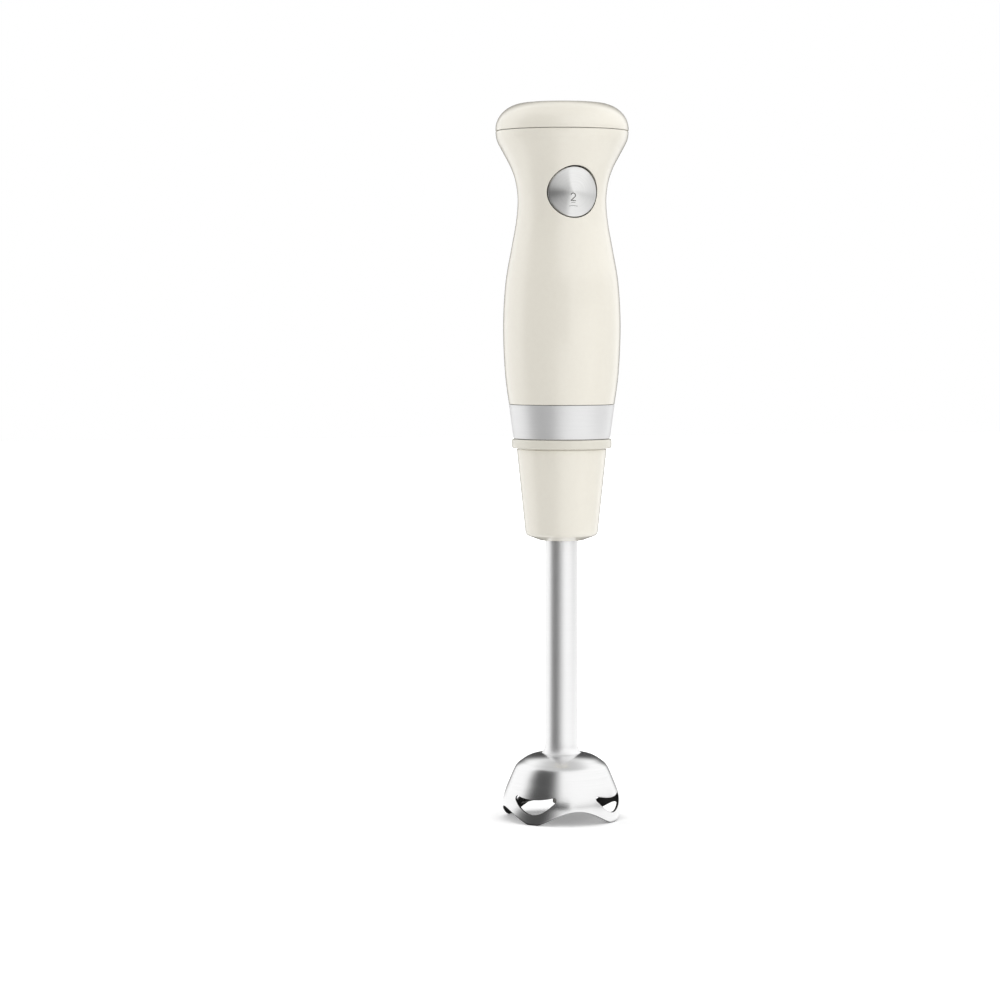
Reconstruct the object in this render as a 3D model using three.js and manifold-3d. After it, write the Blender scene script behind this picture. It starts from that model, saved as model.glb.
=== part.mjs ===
// Immersion blender with a detachable blending foot.
//
// Millimetres, +Z up. The origin is the centre of the bounding box on the floor plane, the speed
// button faces -Y and the cord outlet faces +Y. The drive axis stands at x = 0, y = DRIVE_AXIS_Y, and
// every height below is a height above the floor. All pieces are modelled about the drive axis.

import * as THREE from 'three';
import { mergeVertices } from 'three/addons/utils/BufferGeometryUtils.js';
import Module from 'manifold-3d';

const wasm = await Module();
wasm.setup();

// ---------------------------------------------------------------------------------------------
// Driving dimensions
// ---------------------------------------------------------------------------------------------

const HEAD_RADIUS = 37;           // widest diameter, at the seam under the top cap
const WAIST_RADIUS = 24.65;       // narrowest place of the handle, behind the button
const BELLY_RADIUS = 32.75;       // widest place of the grip, around the motor
const SHELL_FOOT_RADIUS = 29.45;  // lower edge of the handle shell
const SHELL_WALL = 2.5;
const SOCKET_WALL = 2.6;
const SHELL_HEIGHT = 151.4;
const WAIST_DROP = 38.2;          // from the seam down to the waist
const CAP_HEIGHT = 15.4;
const CAP_FLAT_RADIUS = 20;
const CAP_WALL = 2.2;
const BAND_HEIGHT = 18.9;
const BAND_FOOT_RADIUS = 26.9;
const BAND_WALL = 1.2;

const COLLAR_HEIGHT = 56.8;
const COLLAR_TOP_RADIUS = 25.1;
const COLLAR_FOOT_RADIUS = 20.4;
const COLLAR_WALL = 2.6;
const FLANGE_RADIUS = 27.9;
const FLANGE_HEIGHT = 5.1;
const TUBE_RADIUS = 9.1;
const TUBE_WALL = 0.8;
const TUBE_LENGTH = 119.5;        // bare tube between the bell and the collar
const TUBE_FLARE_RADIUS = 11;
const TUBE_FLARE_HEIGHT = 6;
const BELL_HEIGHT = 37;
const BELL_RIM_RADIUS = 33.3;
const BELL_WALL = 1.4;
const BELL_ARCH_HEIGHT = 8.1;
const BELL_SLOT_COUNT = 4;
const BELL_SLOT_WIDTH = 25.8;

const SPIGOT_RADIUS = 20.4;
const SPIGOT_HEIGHT = 23.6;
const KEY_WIDTH = 4;
const KEY_DEPTH = 1.8;
const DRIVE_SHAFT_RADIUS = 3;
const THREAD_RADIUS = 2.4;
const BLADE_TIP_RADIUS = 24;
const BLADE_HEIGHT = 12.6;
const BLADE_THICKNESS = 1.5;
const HEX_RADIUS = 5.4;           // drive dog, across its corners
const COUPLING_RADIUS = 9.3;

const MOTOR_RADIUS = 21;
const MOTOR_LENGTH = 57.5;
const YOKE_WALL = 1.5;
const MOTOR_SHAFT_RADIUS = 2.5;
const BEARING_RADIUS = 5;
const MAGNET_THICKNESS = 2.8;
const AIR_GAP = 0.8;              // between the armature and the magnets
const CORE_LENGTH = 28;
const COMMUTATOR_RADIUS = 6.5;
const FAN_MARGIN = 3.5;           // from the fan's tip in to the motor's radius
const FAN_BLADES = 8;
const VENT_COUNT = 4;             // air slits behind the fan
const VENT_PITCH = 4;
const VENT_WIDTH = 16;
const VENT_SLIT = 1.6;

const BUTTON_RADIUS = 14.2;
const BUTTON_DROP = 34.2;         // from the seam down to the button's centre
const BUTTON_DISH = 2.4;          // depth of the face's middle under the shell's surface
const BUTTON_PIN_RADIUS = 1;
const SWITCH_SPACING = 10;        // from the button's centre to each plunger
const SWITCH_SIZE = new THREE.Vector3(6, 6.4, 12.8);
const PLUNGER_RADIUS = 1.1;

const OUTLET_REACH = 63;          // from the drive axis to the tip of the cord gland
const OUTLET_DROP = 16.2;         // from the seam down to the outlet's middle
const OUTLET_RADIUS = 8.5;
const OUTLET_TAPER = 2;
const GLAND_BORE_RADIUS = 3.3;
const GLAND_NECK_RADIUS = 4.9;
const GLAND_NOSE = 5.7;
const GLAND_LIP_RADIUS = 6.2;
const SCREW_RADIUS = 1.2;
const SCREW_HEAD_RADIUS = 2.4;
const SCREW_HEAD_HEIGHT = 1.6;

// Clearances
const SEAM = 0.3;                 // between faces of neighbouring pieces
const RUNNING = 0.25;             // radial, shafts in bushes
const SLIDING = 0.4;              // radial, spigot in socket
const BUTTON_GAP = 0.75;          // around the button, wide enough for its rocking rim
const STROKE_GAP = 1;             // free air beside parts that move

// Number of sides of round pieces
const BELL_SIDES = 40;            // a multiple of 8, so that each foot's middle is a corner
const ROUND = 32;
const INNER = 24;
const SMALL = 16;
const TINY = 8;

// ---------------------------------------------------------------------------------------------
// Derived heights and places
// ---------------------------------------------------------------------------------------------

const DRIVE_AXIS_Y = -(OUTLET_REACH - HEAD_RADIUS) / 2;

const PARTING_Z = BELL_HEIGHT + TUBE_LENGTH + COLLAR_HEIGHT;
const COLLAR_FOOT_Z = BELL_HEIGHT + TUBE_LENGTH;
const BAND_Z = PARTING_Z + SEAM;
const SHELL_Z = BAND_Z + BAND_HEIGHT + SEAM;
const CAP_Z = SHELL_Z + SHELL_HEIGHT + SEAM;
const TOP_Z = CAP_Z + CAP_HEIGHT;

const SPIGOT_TOP_Z = PARTING_Z + SPIGOT_HEIGHT;
const ROOF_Z = SPIGOT_TOP_Z + 2 * SLIDING;
const ROOF_THICKNESS = 3.3;
const MOTOR_NECK = 3.7;
const DAMPER_Z = ROOF_Z + ROOF_THICKNESS + SEAM;
const MOTOR_Z = DAMPER_Z + 4.2;
const MOTOR_TOP_Z = MOTOR_Z + MOTOR_LENGTH;
const END_BELL_Z = MOTOR_TOP_Z + SEAM;
const END_BELL_THICKNESS = 3.2;
const END_BELL_HUB = 5;
const FAN_Z = END_BELL_Z + END_BELL_THICKNESS + END_BELL_HUB + STROKE_GAP;
const FAN_HEIGHT = 6.5;
const DECK_Z = FAN_Z + FAN_HEIGHT + 2 * STROKE_GAP;
const DECK_THICKNESS = 2.5;

const BUTTON_Z = CAP_Z - SEAM - BUTTON_DROP;
const OUTLET_Z = CAP_Z - SEAM - OUTLET_DROP;

const TUBE_TOP_Z = PARTING_Z + SEAM;
const WEB_Z = TUBE_TOP_Z + SEAM;
const WEB_THICKNESS = 7.5;
const COUPLING_Z = WEB_Z + WEB_THICKNESS + 2;
const COUPLING_FLOOR = 2.5;
const DOG_Z = COUPLING_Z + COUPLING_FLOOR + SEAM;
const DOG_FLOOR = 2;
const DOG_HUB_Z = SPIGOT_TOP_Z - 0.6;
const HOUSING_TOP_Z = BELL_HEIGHT + 23;
const HOUSING_Z = BELL_HEIGHT - 12.5;
const SEAL_POCKET = 6;
const SHOULDER_Z = BLADE_HEIGHT + 3.9;
const NUT_HEIGHT = 3.7;
const NUT_RADIUS = 5;             // across its corners

// ---------------------------------------------------------------------------------------------
// Solids
// ---------------------------------------------------------------------------------------------

const point = (x, y) => new THREE.Vector2(x, y);

/** Signed volume of an indexed triangle mesh. */
function signedVolume(positions, triangles) {
  const corner = (i) => new THREE.Vector3().fromArray(positions, 3 * i);
  let volume = 0;
  for (let i = 0; i < triangles.length; i += 3) {
    const [a, b, c] = [corner(triangles[i]), corner(triangles[i + 1]), corner(triangles[i + 2])];
    volume += a.dot(b.cross(c)) / 6;
  }
  return volume;
}

/** A closed three.js geometry as a solid: shared corners merged and every face pointing out. */
function solidOf(geometry) {
  geometry.deleteAttribute('normal');
  geometry.deleteAttribute('uv');
  const merged = mergeVertices(geometry, 1e-4);
  const vertProperties = Float32Array.from(merged.attributes.position.array);
  const corners = merged.index.array;
  let triangles = [];
  for (let i = 0; i < corners.length; i += 3) {
    const [a, b, c] = [corners[i], corners[i + 1], corners[i + 2]];
    if (a !== b && b !== c && c !== a) triangles.push(a, b, c);
  }
  if (signedVolume(vertProperties, triangles) < 0) triangles = triangles.reverse();
  const triVerts = Uint32Array.from(triangles);
  return new wasm.Manifold(new wasm.Mesh({ numProp: 3, vertProperties, triVerts }));
}

/** A solid as a three.js geometry. */
function geometryOf(solid) {
  const mesh = solid.getMesh();
  const geometry = new THREE.BufferGeometry();
  geometry.setAttribute('position', new THREE.BufferAttribute(Float32Array.from(mesh.vertProperties), 3));
  geometry.setIndex(new THREE.BufferAttribute(Uint32Array.from(mesh.triVerts), 1));
  return geometry;
}

/** The geometry of a closed (radius, height) outline turned about the vertical axis. */
function turnedGeometry(outline, sides) {
  return new THREE.LatheGeometry([...outline, outline[0]], sides).rotateX(Math.PI / 2);
}

const turned = (outline, sides = ROUND) => solidOf(turnedGeometry(outline, sides));

/** A ring, or a rod when the inner radius is 0, standing on the vertical axis. */
function ring(inner, outer, low, high, sides = ROUND) {
  return turned([point(inner, low), point(outer, low), point(outer, high), point(inner, high)], sides);
}

/** A box between two corners. */
function box(low, high) {
  const size = high.map((value, i) => value - low[i]);
  const middle = high.map((value, i) => (value + low[i]) / 2);
  return solidOf(new THREE.BoxGeometry(...size).translate(...middle));
}

/** A flat outline in the XY plane raised from one height to another. */
function raised(shape, low, high, curveSegments = 8) {
  const geometry = new THREE.ExtrudeGeometry(shape, { depth: high - low, bevelEnabled: false, curveSegments });
  return solidOf(geometry.translate(0, 0, low));
}

/** A regular polygon as a shape, with its first corner on +X. */
function polygon(radius, sides) {
  const corners = Array.from({ length: sides }, (_, i) => {
    const angle = (2 * Math.PI * i) / sides;
    return point(radius * Math.cos(angle), radius * Math.sin(angle));
  });
  return new THREE.Shape(corners);
}

/** A cone or rod along Y, from radius r0 at y0 to radius r1 at y1, at height z and offset x. */
function rodAlongY(r0, r1, y0, y1, z, x = 0, sides = SMALL) {
  const rod = new THREE.CylinderGeometry(r1, r0, y1 - y0, sides);
  return solidOf(rod.translate(x, (y0 + y1) / 2, z));
}

const joined = (...solids) => solids.reduce((sum, solid) => sum.add(solid));
const cut = (body, ...tools) => tools.reduce((rest, tool) => rest.subtract(tool), body);

/** The outline moved to its left by a wall thickness, ending at the same heights. */
function inset(outline, wall) {
  return outline.map((here, i) => {
    const before = outline[Math.max(i - 1, 0)];
    const after = outline[Math.min(i + 1, outline.length - 1)];
    const along = after.clone().sub(before).normalize();
    const moved = point(Math.max(here.x - along.y * wall, 0), here.y + along.x * wall);
    if (i === 0) moved.y = here.y;
    return moved;
  });
}

/** The radius of an outline that rises steadily, at one height. */
function radiusAt(outline, height) {
  const next = Math.max(outline.findIndex((station) => station.y >= height), 1);
  const [low, high] = [outline[next - 1], outline[next]];
  return THREE.MathUtils.mapLinear(height, low.y, high.y, low.x, high.x);
}

// ---------------------------------------------------------------------------------------------
// Materials
// ---------------------------------------------------------------------------------------------

const finish = (color, roughness, metalness) => new THREE.MeshStandardMaterial({ color, roughness, metalness });

const CREAM = finish('#ece7d6', 0.22, 0);
const BRUSHED = finish('#c9c8c4', 0.34, 1);
const POLISHED = finish('#d6d5d2', 0.1, 1);
const DARK_PLASTIC = finish('#2b2b2c', 0.5, 0);
const RUBBER = finish('#1d1d1d', 0.8, 0);
const ZINC = finish('#a9a9a6', 0.4, 1);
const BRONZE = finish('#a07a46', 0.45, 1);
const COPPER = finish('#b4683a', 0.35, 1);
const CARBON = finish('#303030', 0.7, 0);
const FERRITE = finish('#4a4a4d', 0.7, 0);
const BOARD = finish('#2f6b45', 0.5, 0);

/** Adds a named piece to a group. */
function addPiece(group, name, solid, material) {
  const mesh = new THREE.Mesh(geometryOf(solid), material);
  mesh.name = name;
  group.add(mesh);
  return mesh;
}

const SIDES = [['left', -1], ['right', 1]];

// ---------------------------------------------------------------------------------------------
// Handle: shell, cap, band and socket
// ---------------------------------------------------------------------------------------------

/** The shell's outside, from its lower edge to the seam: belly, waist and flared head. */
function shellOutline() {
  const waistZ = SHELL_Z + SHELL_HEIGHT - WAIST_DROP;
  const grip = [
    [0, SHELL_FOOT_RADIUS],
    [0.154, BELLY_RADIUS - 1.05],
    [0.381, BELLY_RADIUS],
    [0.595, BELLY_RADIUS - 1.3],
    [0.769, BELLY_RADIUS - 4.65],
    [0.893, WAIST_RADIUS + 0.95],
  ].map(([share, radius]) => point(radius, THREE.MathUtils.lerp(SHELL_Z, waistZ, share)));
  const head = [
    [0, WAIST_RADIUS],
    [0.265, WAIST_RADIUS + 1.15],
    [0.471, WAIST_RADIUS + 3.75],
    [0.682, HEAD_RADIUS - 4.4],
    [0.865, HEAD_RADIUS - 0.8],
    [1, HEAD_RADIUS],
  ].map(([share, radius]) => point(radius, waistZ + share * WAIST_DROP));
  return new THREE.SplineCurve([...grip, ...head]).getPoints(12);
}

/** The cap's outside, from the seam over its round shoulder to the middle of the top. */
function capOutline() {
  const shoulder = 1;
  const arc = new THREE.Path();
  arc.moveTo(HEAD_RADIUS, CAP_Z);
  arc.absellipse(CAP_FLAT_RADIUS, CAP_Z + shoulder, HEAD_RADIUS - CAP_FLAT_RADIUS, CAP_HEIGHT - shoulder,
    0, Math.PI / 2, false, 0);
  return arc.getPoints(2);
}

const shellOutside = shellOutline();

/** Hollow shell with the cord outlet, the button's hole and the vents. */
function makeHandleShell() {
  const inside = inset(shellOutside, SHELL_WALL);
  inside[0].y -= SEAM;
  inside[inside.length - 1].y += SEAM;
  const closeOnAxis = (outline) => [point(0, outline[0].y), ...outline, point(0, outline.at(-1).y)];
  const outletTip = OUTLET_REACH - GLAND_NOSE - SEAM;
  const outletRoot = WAIST_RADIUS - SHELL_WALL;
  const outlet = rodAlongY(OUTLET_RADIUS + OUTLET_TAPER, OUTLET_RADIUS, outletRoot, outletTip, OUTLET_Z);
  const outletBore = rodAlongY(GLAND_NECK_RADIUS + SEAM, GLAND_NECK_RADIUS + SEAM, 0, OUTLET_REACH, OUTLET_Z);
  const buttonRadius = BUTTON_RADIUS + BUTTON_GAP;
  const buttonHole = rodAlongY(buttonRadius, buttonRadius, -2 * WAIST_RADIUS, 0, BUTTON_Z, 0, ROUND);
  const vents = Array.from({ length: VENT_COUNT }, (_, i) => {
    const middle = FAN_Z + FAN_HEIGHT / 2 + VENT_PITCH * (i - (VENT_COUNT - 1) / 2);
    const [low, high] = [middle - VENT_SLIT / 2, middle + VENT_SLIT / 2];
    return box([-VENT_WIDTH / 2, 0, low], [VENT_WIDTH / 2, 2 * BELLY_RADIUS, high]);
  });
  const body = turned(closeOnAxis(shellOutside)).add(outlet);
  return cut(body, turned(closeOnAxis(inside)), outletBore, buttonHole, ...vents);
}

const CAP_SKIRT_DEPTH = 3.4;
const CAP_SKIRT_WALL = 2;

/** Rounded cap, with a skirt under it that sits inside the shell. */
function makeTopCap() {
  const leadIn = 0.4;
  const root = 3;
  const outside = capOutline();
  const inside = inset(outside, CAP_WALL).reverse();
  inside[0].x = 0;
  const skirtOuter = HEAD_RADIUS - SHELL_WALL - 2 * SEAM;
  const skirt = [
    point(HEAD_RADIUS - 2 * CAP_WALL, CAP_Z + root),
    point(skirtOuter - CAP_SKIRT_WALL, CAP_Z - CAP_SKIRT_DEPTH),
    point(skirtOuter - leadIn, CAP_Z - CAP_SKIRT_DEPTH),
    point(skirtOuter, CAP_Z),
  ];
  return turned([...outside, point(0, TOP_Z), ...inside.slice(0, -2), ...skirt]);
}

/** Outer radius of the band's cone at a height. */
function bandRadiusAt(height) {
  return THREE.MathUtils.mapLinear(height, BAND_Z, SHELL_Z, BAND_FOOT_RADIUS, SHELL_FOOT_RADIUS);
}

function makeTrimBand() {
  const top = BAND_Z + BAND_HEIGHT;
  return turned([
    point(bandRadiusAt(BAND_Z) - BAND_WALL, BAND_Z),
    point(bandRadiusAt(BAND_Z), BAND_Z),
    point(bandRadiusAt(top), top),
    point(bandRadiusAt(top) - BAND_WALL, top),
  ]);
}

const SOCKET_RADIUS = SPIGOT_RADIUS + SLIDING;
const SOCKET_SHOULDER = 3;        // from the roof up to where the socket narrows to the motor
const SOCKET_TAPER = 2;
const CLIP_Z = PARTING_Z + 6;
const CLIP_HEIGHT = 1.6;
const GROOVE_DEPTH = 1.2;
const SEAT_DEPTH = 6.5;           // how far the socket's rim rises around the motor

/** Socket for the foot's spigot, with the motor's seat on its roof. */
function makeCouplingSocket() {
  const low = BAND_Z + SEAM;
  const ledge = BAND_Z + BAND_HEIGHT;
  const backing = (height) => bandRadiusAt(height) - BAND_WALL - SEAM;
  const inShell = SHELL_FOOT_RADIUS - SHELL_WALL - SEAM;
  const seat = MOTOR_RADIUS + SEAM;
  const roofTop = ROOF_Z + ROOF_THICKNESS;
  const body = turned([
    point(SOCKET_RADIUS, low),
    point(backing(low), low),
    point(backing(ledge), ledge),
    point(inShell, ledge),
    point(inShell, roofTop + SOCKET_SHOULDER),
    point(seat + SOCKET_WALL, roofTop + SOCKET_SHOULDER + SOCKET_TAPER),
    point(seat + SOCKET_WALL, MOTOR_Z + SEAT_DEPTH),
    point(seat, MOTOR_Z + SEAT_DEPTH),
    point(seat, roofTop),
    point(COUPLING_RADIUS, roofTop),
    point(COUPLING_RADIUS, ROOF_Z),
    point(SOCKET_RADIUS, ROOF_Z),
    point(SOCKET_RADIUS, CLIP_Z + CLIP_HEIGHT + SEAM),
    point(SOCKET_RADIUS + GROOVE_DEPTH, CLIP_Z + CLIP_HEIGHT + SEAM),
    point(SOCKET_RADIUS + GROOVE_DEPTH, CLIP_Z - SEAM),
    point(SOCKET_RADIUS, CLIP_Z - SEAM),
  ], INNER);
  const halfGroove = KEY_WIDTH / 2 + SEAM;
  const keyway = SPIGOT_RADIUS + KEY_DEPTH + SLIDING;
  return cut(body, box([-keyway, -halfGroove, BAND_Z - 1], [keyway, halfGroove, ROOF_Z]));
}

/** Open spring ring that catches the spigot's groove. */
function makeRetainingClip() {
  const inner = SPIGOT_RADIUS - GROOVE_DEPTH + SEAM;
  const whole = ring(inner, SOCKET_RADIUS + GROOVE_DEPTH - SEAM, CLIP_Z, CLIP_Z + CLIP_HEIGHT, INNER);
  const opening = KEY_WIDTH / 2 + STROKE_GAP;
  return cut(whole, box([-opening, 0, CLIP_Z - 1], [opening, 2 * SOCKET_RADIUS, CLIP_Z + CLIP_HEIGHT + 1]));
}

// ---------------------------------------------------------------------------------------------
// Handle: motor
// ---------------------------------------------------------------------------------------------

const YOKE_INSIDE = MOTOR_RADIUS - YOKE_WALL;
const SHAFT_BORE = MOTOR_SHAFT_RADIUS + RUNNING;
const BEARING_SEAT = BEARING_RADIUS + SEAM;
const NECK_RADIUS = BEARING_SEAT + 1.7;
const HUB_RADIUS = NECK_RADIUS + 1.5;

/** Steel can of the motor, open at its top. */
function makeMotorYoke() {
  const neckZ = MOTOR_Z - MOTOR_NECK;
  return turned([
    point(BEARING_SEAT, neckZ),
    point(NECK_RADIUS, neckZ),
    point(NECK_RADIUS, MOTOR_Z),
    point(MOTOR_RADIUS, MOTOR_Z),
    point(MOTOR_RADIUS, MOTOR_TOP_Z),
    point(YOKE_INSIDE, MOTOR_TOP_Z),
    point(YOKE_INSIDE, MOTOR_Z + YOKE_WALL),
    point(BEARING_SEAT, MOTOR_Z + YOKE_WALL),
  ], INNER);
}

/** Lid of the motor with the upper bearing's hub. */
function makeEndBell() {
  const top = END_BELL_Z + END_BELL_THICKNESS;
  const body = turned([
    point(BEARING_SEAT, END_BELL_Z),
    point(MOTOR_RADIUS, END_BELL_Z),
    point(MOTOR_RADIUS, top),
    point(HUB_RADIUS, top),
    point(HUB_RADIUS, top + END_BELL_HUB),
    point(BEARING_SEAT, top + END_BELL_HUB),
  ], INNER);
  return cut(body, ...chassisScrewHoles());
}

const CORE_Z = MOTOR_Z + 13;       // room below the core for the lower winding
const CORE_RADIUS = YOKE_INSIDE - SEAM - MAGNET_THICKNESS - AIR_GAP;
const COMMUTATOR_Z = MOTOR_TOP_Z - 9.2;
const COMMUTATOR_HEIGHT = 8.4;
const WINDING_HEIGHT = 7.7;
const MAGNET_HALF_ANGLE = THREE.MathUtils.degToRad(55);
const MAGNET_OVERHANG = 2.5;      // past each end of the core

/** One arc magnet, centred on the +X side. */
function makeMagnet() {
  const outer = YOKE_INSIDE - SEAM;
  const arc = new THREE.Shape();
  arc.absarc(0, 0, outer, -MAGNET_HALF_ANGLE, MAGNET_HALF_ANGLE, false);
  arc.absarc(0, 0, outer - MAGNET_THICKNESS, MAGNET_HALF_ANGLE, -MAGNET_HALF_ANGLE, true);
  return raised(arc, CORE_Z - MAGNET_OVERHANG, CORE_Z + CORE_LENGTH + MAGNET_OVERHANG, 7);
}

/** Laminated core with a slot, given as [angle, share of the radius], between each pair of teeth. */
function makeArmatureCore() {
  const teeth = 10;
  const halfTooth = Math.PI / teeth;
  const slot = [[-0.05, 1], [-0.16, 0.88], [-0.1, 0.62], [0.1, 0.62], [0.16, 0.88], [0.05, 1]];
  const corners = Array.from({ length: teeth }, (_, i) => slot.map(([angle, share]) => {
    const turn = (2 * i + 1) * halfTooth + angle;
    return point(CORE_RADIUS * share * Math.cos(turn), CORE_RADIUS * share * Math.sin(turn));
  }));
  const body = raised(new THREE.Shape(corners.flat()), CORE_Z, CORE_Z + CORE_LENGTH);
  return cut(body, ring(0, SHAFT_BORE, 0, TOP_Z, SMALL));
}

/** A winding head: a rounded ring of wire around the shaft. */
function makeWinding(low, high) {
  const round = 2;
  const margin = 1.4;
  const inner = SHAFT_BORE + 1;
  const outer = CORE_RADIUS - margin;
  return turned([
    point(inner, low),
    point(outer - round, low),
    point(outer, low + round),
    point(outer, high - round),
    point(outer - round, high),
    point(inner, high),
  ], SMALL);
}

const HOLDER_WALL = 0.7;
const HOLDER_END_X = YOKE_INSIDE - 2 * HOLDER_WALL;
const BRUSH_X = COMMUTATOR_RADIUS + SEAM;
const BRUSH_SPRING_ROOM = 2.6;
const BRUSH_EXPOSED = 2;          // from the commutator out to the holder
const BRUSH_SIZE = new THREE.Vector3(HOLDER_END_X - HOLDER_WALL - BRUSH_SPRING_ROOM - BRUSH_X, 6, 5);
const BRUSH_Z = MOTOR_TOP_Z - HOLDER_WALL - SEAM - BRUSH_SIZE.z / 2;

const makeBrush = () => box(
  [BRUSH_X, -BRUSH_SIZE.y / 2, BRUSH_Z - BRUSH_SIZE.z / 2],
  [BRUSH_X + BRUSH_SIZE.x, BRUSH_SIZE.y / 2, BRUSH_Z + BRUSH_SIZE.z / 2],
);

/** Sheet-brass box that guides a brush, closed at its outer end. */
function makeBrushHolder() {
  const halfY = BRUSH_SIZE.y / 2 + SEAM;
  const halfZ = BRUSH_SIZE.z / 2 + SEAM;
  const start = COMMUTATOR_RADIUS + BRUSH_EXPOSED;
  const outside = box(
    [start, -halfY - HOLDER_WALL, BRUSH_Z - halfZ - HOLDER_WALL],
    [HOLDER_END_X, halfY + HOLDER_WALL, BRUSH_Z + halfZ + HOLDER_WALL],
  );
  const channelEnd = HOLDER_END_X - HOLDER_WALL;
  return cut(outside, box([start - 1, -halfY, BRUSH_Z - halfZ], [channelEnd, halfY, BRUSH_Z + halfZ]));
}

/** Helix along +X for a brush spring. */
class SpringCurve extends THREE.Curve {
  constructor(start, length, radius, turns) {
    super();
    Object.assign(this, { start, length, radius, turns });
  }

  getPoint(share, target = new THREE.Vector3()) {
    const angle = 2 * Math.PI * this.turns * share;
    const side = this.radius * Math.cos(angle);
    return target.set(this.start + this.length * share, side, BRUSH_Z + this.radius * Math.sin(angle));
  }
}

function makeBrushSpring() {
  const wire = 0.3;
  const turns = 2.5;
  const start = BRUSH_X + BRUSH_SIZE.x + SEAM + wire;
  const length = HOLDER_END_X - HOLDER_WALL - SEAM - wire - start;
  const extrudePath = new SpringCurve(start, length, BRUSH_SIZE.z / 2 - wire, turns);
  return solidOf(new THREE.ExtrudeGeometry(polygon(wire, 4), { steps: 20, bevelEnabled: false, extrudePath }));
}

const FAN_RADIUS = MOTOR_RADIUS - FAN_MARGIN;

/** Radial fan: a hub, a base plate and straight blades. */
function makeCoolingFan() {
  const sheet = 1.2;
  const step = 0.5;
  const inTip = 0.7;
  const hubRadius = SHAFT_BORE + 2.5;
  const hub = ring(0, hubRadius, FAN_Z, FAN_Z + FAN_HEIGHT, SMALL);
  const blades = Array.from({ length: FAN_BLADES }, (_, i) => {
    const low = [hubRadius - 1, -sheet / 2, FAN_Z + step];
    const high = [FAN_RADIUS - inTip, sheet / 2, FAN_Z + FAN_HEIGHT - step];
    return box(low, high).rotate([0, 0, (360 * i) / FAN_BLADES]);
  });
  const body = joined(hub, ring(0, FAN_RADIUS, FAN_Z, FAN_Z + sheet, SMALL), ...blades);
  return cut(body, ring(0, SHAFT_BORE, FAN_Z - 1, FAN_Z + FAN_HEIGHT + 1, SMALL));
}

/** Hexagonal key on the motor's shaft, under a round hub. */
function makeDriveDog() {
  const hubTop = MOTOR_Z - MOTOR_NECK - 2 * SEAM;
  const hubRadius = COUPLING_RADIUS - STROKE_GAP;
  const body = joined(
    raised(polygon(HEX_RADIUS, 6), DOG_Z, DOG_HUB_Z + 1),
    ring(0, hubRadius, DOG_HUB_Z, hubTop, SMALL),
  );
  return cut(body, ring(0, SHAFT_BORE, DOG_Z + DOG_FLOOR, hubTop + 1, SMALL));
}

// ---------------------------------------------------------------------------------------------
// Handle: chassis, switches and cord entry
// ---------------------------------------------------------------------------------------------

const CHASSIS_Z = END_BELL_Z + END_BELL_THICKNESS + SEAM;
const CHASSIS_THICKNESS = 2.5;
const SCREW_CIRCLE = MOTOR_RADIUS - 5.5;
const PLATE_Y = 5;
const PLATE_THICKNESS = 2.5;
const PLATE_HALF_WIDTH = 14;
const CLAMP_Y = PLATE_Y + PLATE_THICKNESS + SEAM;
const CLAMP_THICKNESS = 5.2;
const CLAMP_Z = BUTTON_Z + 10;
const CLAMP_SCREW_X = 6.8;
const CLAMP_HALF_WIDTH = 10;
const CLAMP_HALF_HEIGHT = 4;
const PLATE_TOP_Z = CLAMP_Z + CLAMP_HALF_HEIGHT + 1;
const LEG_HALF_WIDTH = 4;

/** Screw holes for the chassis, one in front of the shaft and one behind it. */
function chassisScrewHoles() {
  return [-1, 1].map((side) => {
    const hole = ring(0, SCREW_RADIUS + SEAM, END_BELL_Z + SEAM, CHASSIS_Z + CHASSIS_THICKNESS + 1, TINY);
    return hole.translate([0, side * SCREW_CIRCLE, 0]);
  });
}

/** Pan-head screw along -Z, with the underside of its head at the origin. */
function makeScrew(length) {
  return turned([
    point(0, -length),
    point(SCREW_RADIUS, -length),
    point(SCREW_RADIUS, 0),
    point(SCREW_HEAD_RADIUS, 0),
    point(SCREW_HEAD_RADIUS, SCREW_HEAD_HEIGHT * 0.6),
    point(SCREW_HEAD_RADIUS * 0.6, SCREW_HEAD_HEIGHT),
    point(0, SCREW_HEAD_HEIGHT),
  ], TINY);
}

/** Frame over the motor: a base ring, two legs past the fan, a deck and an upright plate. */
function makeChassis() {
  const legOutside = MOTOR_RADIUS + 1.4;
  const legInside = FAN_RADIUS + 1.8;
  const deckTop = DECK_Z + DECK_THICKNESS;
  const base = ring(HUB_RADIUS + 2.5, legOutside, CHASSIS_Z, CHASSIS_Z + CHASSIS_THICKNESS, INNER);
  const deckRadius = radiusAt(shellOutside, deckTop) - SHELL_WALL - STROKE_GAP;
  const deck = ring(NECK_RADIUS, deckRadius, DECK_Z, deckTop, INNER);
  const legs = SIDES.map(([, side]) => {
    const [low, high] = [side * legInside, side * (legOutside - 0.5)].sort((a, b) => a - b);
    return box([low, -LEG_HALF_WIDTH, CHASSIS_Z], [high, LEG_HALF_WIDTH, deckTop]);
  });
  const plate = box(
    [-PLATE_HALF_WIDTH, PLATE_Y, DECK_Z],
    [PLATE_HALF_WIDTH, PLATE_Y + PLATE_THICKNESS, PLATE_TOP_Z],
  );
  const clampHoles = SIDES.map(([, side]) => (
    rodAlongY(SCREW_RADIUS + SEAM, SCREW_RADIUS + SEAM, 0, CLAMP_Y, CLAMP_Z, side * CLAMP_SCREW_X, TINY)));
  return cut(joined(base, deck, ...legs, plate), ...chassisScrewHoles(), ...clampHoles);
}

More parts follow.
